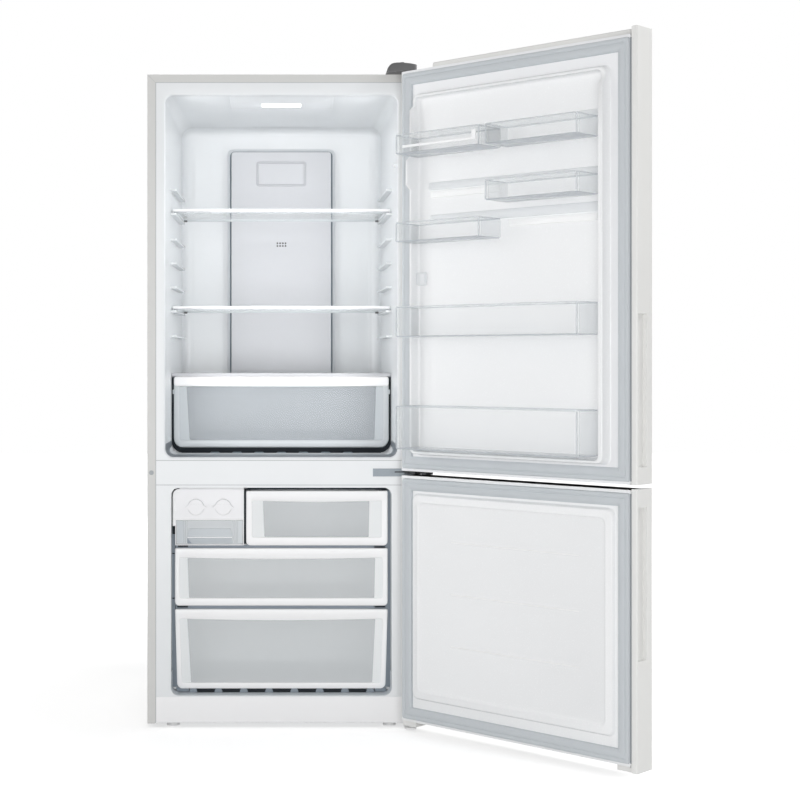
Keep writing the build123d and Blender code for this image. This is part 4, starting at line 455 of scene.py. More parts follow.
def flange_seam():
    """The dark joint between the wrap's flange and the white liners."""
    a, b = FLANGE, HALF - 22.8
    z0, z1 = box("base_panel")[4], box("fridge_liner")[5]

    def outline(half, y):
        top = z1 + half - b
        return placed([(-half, z0), (-half, top), (half, top), (half, z0)], at_front(y))

    bm = bmesh.new()
    near_y, far_y = FRONT - 0.25, FRONT + 0.4
    rings = (outline(a, near_y), outline(b, near_y), outline(b, far_y), outline(a, far_y))
    rows = [[bm.verts.new(p) for p in ring] for ring in rings]
    for near, far in zip(rows, rows[1:] + rows[:1]):
        for i in range(3):
            bm.faces.new((near[i], near[i + 1], far[i + 1], far[i]))
    for i in (0, 3):
        bm.faces.new([row[i] for row in rows])
    return new_piece("flange_joint", bm, "cabinet", SEAM, nodes=("outer_wrap",))


flange_seam()


# ---- top hinge cover ----
def hinge_cover():
    """A low dome over the top hinge, its front edge rounded and its end cut straight."""
    x0, x1, y0, y1, z0, z1 = box("top_hinge_cover")
    high = z1 - z0
    profile = [(0.0, 0.0), (0.0, 0.18), (0.03, 0.42), (0.08, 0.66), (0.14, 0.84), (0.22, 0.95),
               (0.34, 1.0), (0.48, 1.0), (0.62, 0.97), (0.8, 0.9), (0.95, 0.8), (1.0, 0.74),
               (1.0, 0.0)]

    def ring(y, grow, lift):
        points = []
        for a, b in profile:
            x = x0 + (x1 - x0) * a
            points.append((x + grow * (0.5 - a) * 2, z0 + high * b * lift))
        return placed(points, at_front(y))

    return loft([ring(y0, 7.0, 0.72), ring(y0 + 1.5, 3.0, 0.86), ring(y0 + 5, 0.0, 0.96),
                 ring(y0 + 12, 0.0, 1.0), ring(y1 - 12, 0.0, 1.0), ring(y1 - 4, 1.5, 0.95),
                 ring(y1, 6.0, 0.75)])


COVER = box("top_hinge_cover")
new_piece("top_hinge_cover_shell", hinge_cover(), "cabinet", DARK_ABS, nodes=("top_hinge_cover",),
          sharp=40)
cover_rib = blocks([(COVER[0] + 34, COVER[0] + 44, COVER[2] + 3.5, COVER[3] - 8, COVER[5] - 4,
                     COVER[5] - 0.1)])
new_piece("top_hinge_cover_rib", cover_rib, "cabinet", DARK_ABS, 1.5, 3,
          nodes=("top_hinge_cover",))

# ---- middle hinge's black arm sleeve and the door's closing cam ----
FRIDGE_DOOR_Z = (673.5, 1701.0)
FREEZER_DOOR_Z = (31.0, 661.5)
HINGE_Z = (FRIDGE_DOOR_Z[0] + FREEZER_DOOR_Z[1]) / 2
arm_sleeve = blocks([
    (HALF - 31.6, HALF - 0.6, HINGE_Y - 13.2, FRONT - 3.3, HINGE_Z - 2.4, HINGE_Z + 2.2),
    (HALF - 54.0, HALF - 31.0, FRONT - 5.4, FRONT - 3.2, HINGE_Z - 2.0, HINGE_Z + 0.6)])
closing_cam = blocks([(26.0, 44.0, -30.0, -0.6, 665.6, 673.6),
                      (66.0, 80.0, -30.0, -0.6, 665.6, 673.6),
                      (26.0, 80.0, -30.0, -1.5, 672.2, 673.6)], on_door)
new_piece("middle_hinge_sleeve", arm_sleeve, "cabinet", BLACK_ABS, 1.0, nodes=("door_hinges",))
new_piece("door_closing_cam", closing_cam, "fridge_door", BLACK_ABS, 0.8,
          nodes=("fridge_door_trim",))


# ---- lamp housing ----
def lamp_housing():
    """A shallow wedge that grows out of the ceiling towards the lamp's lens."""
    x0, x1, y0, y1, z0, z1 = box("lamp_housing")
    side = [(y0 + 2, z1 - 0.3), (y0 + 46, z0 + 2.6), (y0 + 62, z0 + 0.2), (y1 - 2, z0 + 0.2),
            (y1, z0 + 2), (y1, z1 - 0.6)]
    return loft([placed(side, from_side(x)) for x in (x0, x1)])


new_piece("lamp_housing_wedge", lamp_housing(), "cabinet", LINER, 1.2, 3, nodes=("lamp_housing",))


def lamp_bar():
    """The glowing underside of the lens: a low bar with rounded ends."""
    x0, x1, y0, _, z0, _ = box("lamp_lens")
    outline = rounded(x0 + 1, x1 - 1, y0, y0 + 49.0, 6.0)
    smaller = rounded(x0 + 1.6, x1 - 1.6, y0 + 0.6, y0 + 48.4, 5.4)
    return loft([placed(smaller, at_level(z0)), placed(outline, at_level(z0 + 0.8)),
                 placed(outline, at_level(z0 + 3.0))])


new_piece("lamp_lens_bar", lamp_bar(), "cabinet", LAMP_GLOW, nodes=("lamp_lens",))


# ---- fridge compartment ----
LINER_BOX = box("fridge_liner")
LINER_WALL = 2.5
FR_HALF, FR_FLOOR, FR_CEILING = 303.0, 705.0, 1649.0
FR_BACK = LINER_BOX[3] - LINER_WALL
FR_DRAFT = 10.0  # how much the side walls close in from front to back


def fridge_ring(y, inset=0.0, grow=0.0):
    """The fridge compartment's outline at a depth, which narrows to the back."""
    share = (y - FRONT) / (FR_BACK - FRONT)
    half = FR_HALF - FR_DRAFT * share - inset + grow
    low = FR_FLOOR + FR_DRAFT / 2 * share + inset - grow
    high = FR_CEILING - FR_DRAFT / 2 * share - inset + grow
    radius = max(21.0 + 13.0 * share - inset + grow, 4.0)
    return placed(rounded(-half, half, low, high, radius, 10), at_front(y))


def flange_ring(y):
    """The liner's outer edge, against the steel wrap's flange."""
    return placed(rounded(-FLANGE, FLANGE, LINER_BOX[4], LINER_BOX[5], 1.0, 10), at_front(y))


def fridge_liner():
    """The compartment's moulded shell: a rounded lip, side walls, and a coved back wall."""
    lip = 5.0
    rings = [fridge_ring(FR_BACK + LINER_WALL, 14.0), fridge_ring(FR_BACK - 10.0, 0, LINER_WALL),
             fridge_ring(FRONT + LINER_WALL, 0, LINER_WALL), flange_ring(FRONT + LINER_WALL),
             flange_ring(FRONT)]
    for turn in quarter(6):
        out = lip * (1 - math.sin(turn))
        rings.append(fridge_ring(FRONT + lip * (1 - math.cos(turn)), 0, out))
    corner = 20.0
    for turn in quarter(7):
        rings.append(fridge_ring(FR_BACK - corner * (1 - math.sin(turn)),
                                 corner * (1 - math.cos(turn))))
    # The pressed panel of the back wall, with its two upper corners cut off.
    for grow, y in ((3.0, FR_BACK), (-1.0, FR_BACK + 2.2)):
        rings.append(placed(rounded(-262 - grow, 264 + grow, 740 - grow, 1634 + grow,
                                    (8, 46, 46, 8), 10, chamfer=(1, 2)), at_front(y)))
    return loft(rings)


def wall_half(y):
    """Half the fridge compartment's width at a depth."""
    return FR_HALF - FR_DRAFT * (y - FRONT) / (FR_BACK - FRONT)


LEDGE_TOPS = (1026.0, 1094.0, 1159.0, 1224.0, 1289.0, 1358.0, 1423.0)


def shelf_ledges():
    """Seven moulded ribs on each side wall, rounded at their front ends."""
    bm = bmesh.new()
    y0, y1, reach, thick = FRONT + 162.0, FRONT + 462.0, 16.0, 6.0
    for side in (-1, 1):
        for top in LEDGE_TOPS:
            outline = [(side * (wall_half(y0) + 1), y0)]
            outline += [(side * (wall_half(y0) - reach + 5 * (1 - math.sin(turn))),
                         y0 + 5 * (1 - math.cos(turn))) for turn in quarter(4)]
            outline += [(side * (wall_half(y1) - reach), y1), (side * (wall_half(y1) + 1), y1)]
            if side < 0:
                outline.reverse()
            skin_over(bm, [placed(outline, at_level(top - thick)), placed(outline, at_level(top))])
    for side in (-1, 1):
        x0, x1 = sorted((side * 277.0, side * 293.0))
        add_block(bm, x0, x1, FRONT + 199, FRONT + 457, FR_FLOOR - 1, 718.5)
    return bm


new_piece("fridge_liner_shell", fridge_liner(), "cabinet", LINER, nodes=("fridge_liner",),
          sharp=50)
new_piece("shelf_ledges", shelf_ledges(), "cabinet", LINER, 0.8, 3, nodes=("fridge_liner",))


# ---- moulded floor ribs, made as a row of copies ----
def row_tree():
    """A node tree that sets copies of one rib in a row along X, each a pitch apart."""
    tree = bpy.data.node_groups.new("row_of_ribs", "GeometryNodeTree")
    for name, kind in (("Rib", "NodeSocketObject"), ("Count", "NodeSocketInt"),
                       ("Pitch", "NodeSocketFloat"), ("First", "NodeSocketFloat"),
                       ("Finish", "NodeSocketMaterial")):
        tree.interface.new_socket(name, in_out="INPUT", socket_type=kind)
    tree.interface.new_socket("Geometry", in_out="OUTPUT", socket_type="NodeSocketGeometry")
    given = add(tree, "NodeGroupInput")
    reach = add(tree, "ShaderNodeMath", {0: given.outputs["Pitch"]}, operation="MULTIPLY")
    less = add(tree, "ShaderNodeMath", {0: given.outputs["Count"], 1: 1.0},
               operation="SUBTRACT")
    tree.links.new(less.outputs["Value"], reach.inputs[1])
    last = add(tree, "ShaderNodeMath", {0: given.outputs["First"], 1: reach.outputs["Value"]},
               operation="ADD")
    near = add(tree, "ShaderNodeCombineXYZ", {"X": given.outputs["First"]})
    far = add(tree, "ShaderNodeCombineXYZ", {"X": last.outputs["Value"]})
    line = add(tree, "GeometryNodeMeshLine", {"Count": given.outputs["Count"],
                                              "Start Location": near.outputs["Vector"],
                                              "Offset": far.outputs["Vector"]},
               mode="END_POINTS")
    shape = add(tree, "GeometryNodeObjectInfo", {"Object": given.outputs["Rib"]},
                transform_space="ORIGINAL")
    copies = add(tree, "GeometryNodeInstanceOnPoints", {"Points": line.outputs["Mesh"],
                                                        "Instance": shape.outputs["Geometry"]})
    real = add(tree, "GeometryNodeRealizeInstances", {"Geometry": copies.outputs["Instances"]})
    dressed = add(tree, "GeometryNodeSetMaterial", {"Geometry": real.outputs["Geometry"],
                                                    "Material": given.outputs["Finish"]})
    add(tree, "NodeGroupOutput", {"Geometry": dressed.outputs["Geometry"]})
    return tree


ROW = row_tree()


def row_of(name, shape, count, pitch, first, body, finish, nodes):
    """Copies one shape along X, turns the row into a plain mesh and makes it a piece."""
    mesh = bpy.data.meshes.new(name + "_one")
    bmesh.ops.recalc_face_normals(shape, faces=shape.faces)
    shape.to_mesh(mesh)
    shape.free()
    one = bpy.data.objects.new(name + "_one", mesh)
    host = bpy.data.objects.new(name + "_host", bpy.data.meshes.new(name + "_host"))
    for thing in (one, host):
        bpy.context.scene.collection.objects.link(thing)
    nodes_on = host.modifiers.new("row", "NODES")
    nodes_on.node_group = ROW
    given = {"Rib": one, "Count": count, "Pitch": pitch * MM, "First": first * MM, "Finish": finish}
    for item in ROW.interface.items_tree:
        if item.name in given and item.in_out == "INPUT":
            nodes_on[item.identifier] = given[item.name]
    bpy.context.view_layer.update()
    seen = host.evaluated_get(bpy.context.evaluated_depsgraph_get())
    row = bpy.data.meshes.new_from_object(seen)
    bm = bmesh.new()
    bm.from_mesh(row)
    for thing in (host, one):
        bpy.data.objects.remove(thing)
    return new_piece(name, bm, body, finish, nodes=nodes)


def ridge(width, height, y0, y1, z, nose):
    """A rounded rib that runs from front to back, centred on x = 0."""
    rings = []
    for y, share in ((y0, 0.25), (y0 + nose * 0.4, 0.75), (y0 + nose, 1.0), (y1, 1.0)):
        h = height * share
        rings.append(placed([(-width / 2, z - 0.5), (-width / 2 + 1.5, z + h * 0.55),
                             (-width / 2 + 5, z + h), (width / 2 - 5, z + h),
                             (width / 2 - 1.5, z + h * 0.55), (width / 2, z - 0.5)], at_front(y)))
    return loft(rings)


row_of("crisper_floor_ribs", ridge(28, 2.0, FRONT + 158, FRONT + 196, FR_FLOOR + 1.2, 8), 7, 60.4,
       -181.2, "cabinet", SHADED_LINER, ("fridge_liner",))
# The freezer's floor ribs are grey: painted shade under the bottom drawer.
row_of("freezer_floor_ribs", ridge(22, 12.0, FRONT + 38, FRONT + 350, 83.0, 1.0), 8, 66.6,
       -232.0, "cabinet", GREY_GAP_SHADE, ("freezer_liner",))

# ---- painted black shade behind the crisper's front ----
SHADE_FRAME_Y = FRONT + 196.4


def crisper_seal():
    """A flat black frame between the crisper and the compartment's walls: painted shade of the dark
    gap round the crisper.
    """
    half = wall_half(SHADE_FRAME_Y) - 0.3

    def outer(y):
        return placed(rounded(-half, half, FR_FLOOR + 0.8, 912, (30, 1, 1, 30)), at_front(y))

    def inner(y):
        return placed(rounded(-287.6, 287.6, 719.6, 911, (12, 1, 1, 12)), at_front(y))

    return loft([outer(SHADE_FRAME_Y), outer(SHADE_FRAME_Y + 2), inner(SHADE_FRAME_Y + 2), inner(SHADE_FRAME_Y)], closed=True)


new_piece("crisper_seal", crisper_seal(), "cabinet", BLACK_GAP_SHADE, nodes=("fridge_liner",))
# A black strip on the floor in front of the frame: painted shade under the crisper.
shade_foot = blocks([(-272.0, 272.0, FRONT + 170.0, SHADE_FRAME_Y - 0.4, FR_FLOOR + 1.1, FR_FLOOR + 1.9)])
new_piece("crisper_seal_foot", shade_foot, "cabinet", BLACK_GAP_SHADE, 0.2, 1, nodes=("fridge_liner",))


def floor_apron(half, floor, radius, height, y0, y1, narrow=0.0):
    """A thin skin over the compartment's floor edge and the foot of its side walls."""
    def outline(y, shrink):
        points = []
        for inset in (0.35, 1.0):
            row = [(a, b) for a, b in
                   rounded(-half + inset + shrink, half - inset - shrink, floor + inset,
                           floor + 400, (radius, 1, 1, radius), 8) if b < floor + radius + 2]
            right = [(a, b) for a, b in row if a > 0]
            left = [(a, b) for a, b in row if a < 0]
            row = [(half - inset - shrink, floor + height)] + right[::-1] + left[::-1]
            row.append((-half + inset + shrink, floor + height))
            points += row if inset < 0.5 else row[::-1]
        return placed(points, at_front(y))
    return loft([outline(y0, 0.0), outline(y1, narrow)])


FZ_HALF, FZ_FLOOR = 288.0, 83.0
new_piece("crisper_floor_apron",
          floor_apron(FR_HALF, FR_FLOOR, 21.5, 34.0, FRONT + 8, SHADE_FRAME_Y, 3.2), "cabinet", APRON,
          nodes=("fridge_liner",), sharp=50)
new_piece("freezer_floor_apron",
          floor_apron(FZ_HALF, FZ_FLOOR, 21.5, 60.0, FRONT + 3, FRONT + 36, 0.7), "cabinet",
          APRON_DARK, nodes=("freezer_liner",), sharp=50)
# A black strip behind the ribs' fronts: painted shadow under the bottom drawer.
floor_gaps = blocks([(-222.0, 223.0, FRONT + 40.0, FRONT + 42.0, 83.5, 95.8)])
new_piece("freezer_floor_gaps", floor_gaps, "cabinet", BLACK_GAP_SHADE, 0.2, 1, nodes=("freezer_liner",))

# ---- air duct ----
DUCT = box("air_duct_cover")
DUCT_HALF, DUCT_FACE, DUCT_FOOT, DUCT_TOP = DUCT[1], DUCT[2], DUCT[4], DUCT[5]


def duct_ring(half, top, radius, y):
    return placed(rounded(-half, half, DUCT_FOOT, top, (1, radius, radius, 1), 8), at_front(y))


def duct_panel():
    """The duct's front plate, its edges rounded over."""
    half, top, r = DUCT_HALF, DUCT_TOP, 2.0
    rings = [duct_ring(half - 3, top - 3, 7, DUCT_FACE + 6), duct_ring(half, top, 9, DUCT_FACE + 6)]
    for turn in quarter(4):
        into = r * (1 - math.cos(turn))
        rings.append(duct_ring(half - into, top - into, 9 - into,
                               DUCT_FACE + r * (1 - math.sin(turn))))
    return loft(rings)


def duct_body():
    """The foam block behind the duct's front plate, dark grey as painted shade under the plate's
    edge.
    """
    half, top = DUCT_HALF - 4, DUCT_TOP - 4
    return loft([duct_ring(half, top, 7, DUCT_FACE + 5), duct_ring(half, top, 7, FR_BACK + 0.5)])


def duct_gutter():
    """The grey foam gasket that seals the duct to the back wall."""
    a, b, y, top = DUCT_HALF - 4.2, DUCT_HALF + 12.5, FR_BACK, DUCT_TOP
    return loft([duct_ring(b, top + 11.5, 17, y + 0.3), duct_ring(b - 1, top + 10.5, 16, y - 1.2),
                 duct_ring(a + 5, top + 1, 9, y - 1.6), duct_ring(a, top - 4.2, 7, y - 1.6),
                 duct_ring(a, top - 4.2, 7, y + 0.3)], closed=True)


def label_frame():
    """A raised rounded frame round a bare field on the duct, greyer than the duct: painted shade.
    """
    rings = []
    for inset, rise in ((0, -0.2), (1.2, 1.9), (2.2, 2.4), (5.4, 2.4), (6.4, 1.9), (7.6, -0.2)):
        rings.append(placed(rounded(-73.5 + inset, 73.5 - inset, 1470 + inset, 1544 - inset,
                                    8 - inset * 0.7), at_front(DUCT_FACE - rise)))
    return loft(rings, closed=True)


def grille_cup():
    """One dark air hole: a shallow cup with a rounded rim, black as painted shade inside the hole.
    """
    rings = []
    for radius, depth in ((2.5, -0.1), (2.3, -0.45), (2.0, -0.45), (1.8, -0.1)):
        rings.append([Vector((radius * math.cos(math.tau * i / 14), DUCT_FACE + depth,
                              radius * math.sin(math.tau * i / 14))) * MM for i in range(14)])
    return loft(rings, ends=(False, True))


def duct_shadow_gap():
    """The dark slot between the duct's plate and its foam strip: painted shadow."""
    rings = [duct_ring(DUCT_HALF + out, DUCT_TOP + out, 9 + out, y)
             for out, y in ((4.4, FR_BACK - 2.4), (-4.4, FR_BACK - 2.4), (-4.4, FR_BACK - 1.2),
                            (4.4, FR_BACK - 1.2))]
    return loft(rings, closed=True)


for piece_name, shape, finish, sharp in (
        ("duct_front_plate", duct_panel(), DUCT_ABS, 35),
        ("duct_foam_body", duct_body(), DEEP_GAP_SHADE, 35),
        ("duct_seal_strip", duct_gutter(), FOAM_SEAL, 60),
        ("duct_label_frame", label_frame(), GREY_FRAME_AND_SHADE, 40),
        ("duct_shadow_gap", duct_shadow_gap(), DEEP_GAP_SHADE, 35)):
    new_piece(piece_name, shape, "cabinet", finish, nodes=("air_duct_cover",),
              sharp=sharp)
for row, z in enumerate((1303.0, 1295.0)):
    cup = grille_cup()
    bmesh.ops.translate(cup, verts=cup.verts, vec=(0, 0, z * MM))
    row_of("air_holes_%d" % row, cup, 4, 8.0, -11.5, "cabinet", BLACK_ABS, ("air_duct_cover",))


# ---- shelves and crisper cover ----
def shelf(name, top):
    """A glass pane in a frame with a white front trim, side rails and rear clips."""
    y0, y1 = FRONT + 170.0, FRONT + 450.0
    thick, rim = 11.0, 12.0
    low, rail_top = top - thick, top - 3.8
    half, back_half = wall_half(y0) - 4, wall_half(y1) - 4
    rails = bmesh.new()
    for side in (-1, 1):
        outer = [(side * (wall_half(y) - 4), y) for y in (y0 + rim, y1)]
        inner = [(side * (wall_half(y) - 15), y) for y in (y1, y0 + rim)]
        skin_over(rails, [placed(outer + inner, at_level(low + 1)),
                          placed(outer + inner, at_level(rail_top))])
    add_block(rails, -back_half, back_half, y1 - 7, y1, low + 1, rail_top)
    clips = blocks([sorted((side * (back_half - 1), side * (back_half - 20)))
                    + [y1 - 16, y1 - 7.5, low - 1, low + 4] for side in (-1, 1)])
    front, back = y0 + rim - 2, y1 - 0.5
    a, b = wall_half(front) - 4.5, wall_half(back) - 4.5
    pane = [(-a, front), (a, front), (b, back), (-b, back)]
    glass = loft([placed(pane, at_level(z)) for z in (top - 3.7, top - 0.2)])
    for part, shape, finish, ease, segments in (
            ("_front_trim", blocks([(-half, half, y0, y0 + rim, top - 7.0, top + 0.6)]),
             WHITE_ABS, 2.0, 3),
            ("_front_glazing", blocks([(-half + 4, half - 4, y0 + 3, y0 + rim, low, top - 6.6)]),
             CLEAR_EDGE, 0.8, 2),
            ("_rails", rails, FROSTED, 0.8, 2),
            ("_rear_clips", clips, DARK_ABS, 0.8, 2)):
        new_piece(name + part, shape, name, finish, ease, segments, nodes=(name + "_frame",))
    new_piece(name + "_pane", glass, name, SHELF_GLASS, 0.5, nodes=(name + "_glass",))


shelf("upper_shelf", 1369.0)
shelf("lower_shelf", 1105.0)
dress("crisper_cover_frame", "cabinet", GREY_FRAME_AND_SHADE, 0.8, 2)
dress("crisper_cover_glass", "cabinet", SHELF_GLASS, 0.2)


# ---- drawers ----
def front_outline(x0, x1, z0, z1, radius, bow=0.0, slant=0.0, left=0.0, right=0.0):
    """An outline whose top edge bows down in the middle and whose foot is narrower."""
    points = []
    for x, z in rounded(x0, x1, z0, z1, radius, 6, top=14):
        share = (x - x0) / (x1 - x0)
        if z > (z0 + z1) / 2:
            z -= bow * (1 - (2 * share - 1) ** 2)
        low = (z1 - z) / (z1 - z0)
        x += low * (slant + left * (1 - share) * 2 if share < 0.5
                    else -slant - right * (2 * share - 1))
        points.append((x, z))
    return points


def open_tub(name, body, size, top, y0, y1, finish, nodes, wall=3.0, foot=14.0, rear=30.0,
             lean=4.0):
    """A tub that is open to the window in front of it, with a lip and rounded rear corners."""
    x0, x1, z0 = size

    def channel(y, inner, out=0.0, flat=False):
        def sides(a0, a1, b0, r, lip):
            left = [(a0 - lip, top), (a0 - lip, top - 3.0), (a0, top - 4.5)]
            left += [(a0 + lean + r - r * math.cos(t), b0 + r - r * math.sin(t))
                     for t in quarter(5)]
            return left + [(a0 + a1 - a, b) for a, b in reversed(left)]
        outer = sides(x0 + out, x1 - out, z0 + out, foot, 1.0)
        inside = sides(x0 + wall + inner, x1 - wall - inner, z0 + wall + inner,
                       max(foot - wall, 3.0), 0.0)
        if flat:
            inside = [(a, top) for a, b in inside]
        return placed(outer + inside[::-1], at_front(y))

    rings = [channel(y0, 0.0)]
    for turn in quarter(6):
        rings.append(channel(y1 - wall - rear * (1 - math.sin(turn)), rear * (1 - math.cos(turn))))
    rings += [channel(y1 - wall, rear, 0.0, True), channel(y1, rear, 1.5, True)]
    return new_piece(name, loft(rings), body, finish, nodes=nodes, sharp=50)


def drawer(name, size, y0, depth, border, bezel, bow, finishes, shoulder, tub_drop, corners,
           taper=0.0, rear=30.0):
    """A framed front with a see-through window, and the tub behind it. border is the frame's
    width at its sides, top and foot; bezel is the window's inset left and right and its spread;
    bow is how far its top edge hangs; corners are the radii at its head and foot."""
    x0, x1, z0, z1 = size
    sides, rail_top, rail_bottom = border
    nodes = (name,)
    rim_finish, bezel_finish, pane_finish, tub_finish = finishes
    thick = 9.0
    head, foot = corners

    def outer(y, inset):
        r = (foot - inset, max(head - inset, 1.2), max(head - inset, 1.2), foot - inset)
        return placed(front_outline(x0 + inset, x1 - inset, z0 + inset, z1 - inset, r, 0, taper),
                      at_front(y))

    def inner(y, out):
        return placed(front_outline(x0 + sides - out, x1 - sides + out, z0 + rail_bottom - out,
                                    z1 - rail_top + out, 5.0, bow, taper), at_front(y))

    def window(y, out=0.0):
        left, right, spread = bezel
        return placed(front_outline(x0 + sides + left - out, x1 - sides - right + out,
                                    z0 + rail_bottom + 0.6 - out, z1 - rail_top - 0.6 + out, 2.0,
                                    bow, taper, spread / 2, spread / 2), at_front(y))

    rings = [outer(y0 + thick, 0)]
    for turn in quarter(4):
        rings.append(outer(y0 + 3.0 * (1 - math.sin(turn)), 3.0 * (1 - math.cos(turn))))
    for turn in quarter(3):
        rings.append(inner(y0 + 1.6 * (1 - math.cos(turn)), 1.6 * (1 - math.sin(turn))))
    rings.append(inner(y0 + thick, 0))
    new_piece(name + "_frame", loft(rings, closed=True), name, rim_finish, nodes=nodes)
    bezel_rings = [inner(y0 + 2.2, 0.5), window(y0 + 4.4), window(y0 + 7.5), inner(y0 + 7.5, 0.5)]
    new_piece(name + "_bezel", loft(bezel_rings, closed=True), name, bezel_finish, nodes=nodes)
    new_piece(name + "_window", loft([window(y0 + 5.0, 1.0), window(y0 + 7.0, 1.0)]), name,
              pane_finish, nodes=nodes)
    open_tub(name + "_tub", name, (x0 + shoulder, x1 - shoulder, box(name)[4] + 1), z1 - tub_drop,
             y0 + thick - 0.4, y0 + depth, tub_finish, nodes, rear=rear)


FREEZER_FINISHES = (WHITE_ABS, BEZEL_ABS, SMOKY, TUB)
TOP_FINISHES = (WHITE_ABS, BEZEL_ABS, SMOKY_GREY, TUB)
CRISPER_FINISHES = (FROSTED, FROSTED_STRIP, SMOKY_BLUE, TUB_BLUE)
Y_FREEZER, Y_CRISPER = FRONT + 35.0, FRONT + 187.0
drawer("crisper_drawer", (-293.0, 293.0, 720.8, 914.0), Y_CRISPER, depth=270.0,
       border=(15.0, 26.0, 19.4), bezel=(19.0, 19.0, 9.0), bow=3.0, finishes=CRISPER_FINISHES,
       shoulder=7.0, tub_drop=14.0, corners=(7.0, 24.0), rear=40.0)
for drawer_name, size, border, bezel, bow, finishes, foot_round, taper, rear in (
        ("top_freezer_drawer", (-92.5, 280.0, 470.4, 614.5), (16.0, 26.0, 22.0),
         (28.0, 32.0, 4.0), 3.5, TOP_FINISHES, 11.0, 0.0, 14.0),
        ("middle_freezer_drawer", (-280.0, 280.0, 312.0, 463.4), (13.0, 25.0, 20.0),
         (20.0, 20.0, 4.0), 3.5, FREEZER_FINISHES, 11.0, 0.0, 12.0),
        ("bottom_freezer_drawer", (-280.0, 280.0, 93.8, 303.0), (13.0, 25.0, 15.5),
         (19.5, 19.5, 4.0), 4.5, FREEZER_FINISHES, 14.0, 6.0, 16.0)):
    drawer(drawer_name, size, Y_FREEZER, 325.0, border, bezel, bow, finishes, shoulder=3.0,
           tub_drop=16.0, corners=(4.0, foot_round), taper=taper, rear=rear)


def drawer_flange():
    """The grey upright edges of the bottom drawer, which its narrower foot leaves in view; their
    grey is painted shade.
    """
    bm = bmesh.new()
    for side in (-1, 1):
        outline = [(side * a, b) for a, b in ((279.4, 97.5), (262.0, 97.5), (262.0, 112.0),
                                              (270.0, 120.0), (270.0, 288.0), (279.4, 288.0))]
        if side > 0:
            outline.reverse()
        skin_over(bm, [placed(outline, at_front(y)) for y in (Y_FREEZER + 7.4, Y_FREEZER + 8.9)])
    return bm


new_piece("bottom_freezer_drawer_flange", drawer_flange(), "bottom_freezer_drawer", GREY_GAP_SHADE,
          nodes=("bottom_freezer_drawer",))


def crisper_rail():
    """The white lip across the crisper's top, its lower edge bowed and its ends rounded."""
    x0, x1, z1, y = -293.0, 293.0, 914.0, Y_CRISPER
    profile = ((0.0, 3.0), (0.0, 0.6), (0.8, -0.9), (2.2, -1.6), (5.0, -1.6))
    rings = [placed(front_outline(x0 + inset, x1 - inset, z1 - 27.0 + inset, z1 - inset, 7.0),
                    at_front(y + rise)) for inset, rise in profile]
    return loft(rings)


new_piece("crisper_drawer_rail", crisper_rail(), "crisper_drawer", WHITE_ABS,
          nodes=("crisper_drawer",), sharp=60)
rail_stops = blocks([(x, x + 4.4, Y_CRISPER + 1, Y_CRISPER + 8, 866.0, 878.0)
                     for x in (-296.4, 292.0)])
new_piece("crisper_drawer_stops", rail_stops, "crisper_drawer", FROSTED, 1.0,
          nodes=("crisper_drawer",))


def behind_front_shade():
    """Grey plates behind the freezer's fronts, which the gaps between them show: painted shade for
    those gaps.
    """
    y0, y1 = Y_FREEZER + 9.4, Y_FREEZER + 12.4
    return blocks([(x0, x1, y0, y1, z0, z1) for x0, x1, z0, z1 in (
        (-278.0, 278.0, 289.0, 317.3), (-278.0, 278.0, 449.0, 470.8), (-91.5, 278.0, 470.0, 473.2),
        (-288.0, -279.4, 97.0, 523.0), (278.0, 288.0, 97.0, 616.0), (-277.0, -243.0, 84.0, 95.5),
        (246.0, 277.0, 84.0, 95.5))])


def black_gaps():
    """Black strips painting the shade in the slots round the ice maker, beside the drawers' ends
    and at the catches on the left wall.
    """
    return blocks([(x0, x1, Y_FREEZER + near, Y_FREEZER + far, z0, z1)
                   for x0, x1, near, far, z0, z1 in (
                       (-98.4, -93.0, 3, 5, 474.0, 616.0), (-286.5, -279.6, 6, 9, 500.0, 521.5),
                       (-272.0, -245.5, 2, 9, 466.8, 470.9), (-287.5, -280.4, 8, 9.5, 447.4, 450.0),
                       (-287.5, -280.4, 8, 9.5, 329.4, 332.0), (-90.0, 279.0, 7, 9, 617.8, 621.5),
                       (245.0, 274.0, 2, 9, 464.4, 467.4), (-274.0, -246.0, 2, 9, 307.2, 310.2),
                       (246.0, 274.0, 2, 9, 307.2, 310.2))])


ICE_TURN = (-268.3, 602.0)  # centre of the ice maker's upper left corner


def corner_arc(radius, turns):
    """Points round the ice maker's upper left corner."""
    return [(ICE_TURN[0] - radius * math.cos(turn), ICE_TURN[1] + radius * math.sin(turn))
            for turn in turns]


def ice_maker_side():
    """The flange that closes the ice maker against the left wall, rounded at its top."""
    def outline(y, inset=0.0):
        points = [(-279.5, 522.0), (-286.3 + inset, 522.0), (-286.3 + inset, 602.0)]
        return placed(points + corner_arc(18.0 - inset, quarter(6)) + [ICE_TURN], at_front(y))
    return loft([outline(Y_FREEZER + 3.2), outline(Y_FREEZER + 1.0), outline(Y_FREEZER + 0.3, 0.8)])


def ice_maker_gap():
    """The dark line between the ice maker and the liner, round its upper left corner: painted shade
    of that gap.
    """
    turns = quarter(7)[1:]
    path = [(-287.4, 521.0), (-287.4, 602.0)] + corner_arc(19.1, turns)
    inside = [(-286.0, 521.0), (-286.0, 602.0)] + corner_arc(17.7, turns)
    return loft([placed(path + inside[::-1], at_front(Y_FREEZER + rise)) for rise in (-0.6, 2.0)])


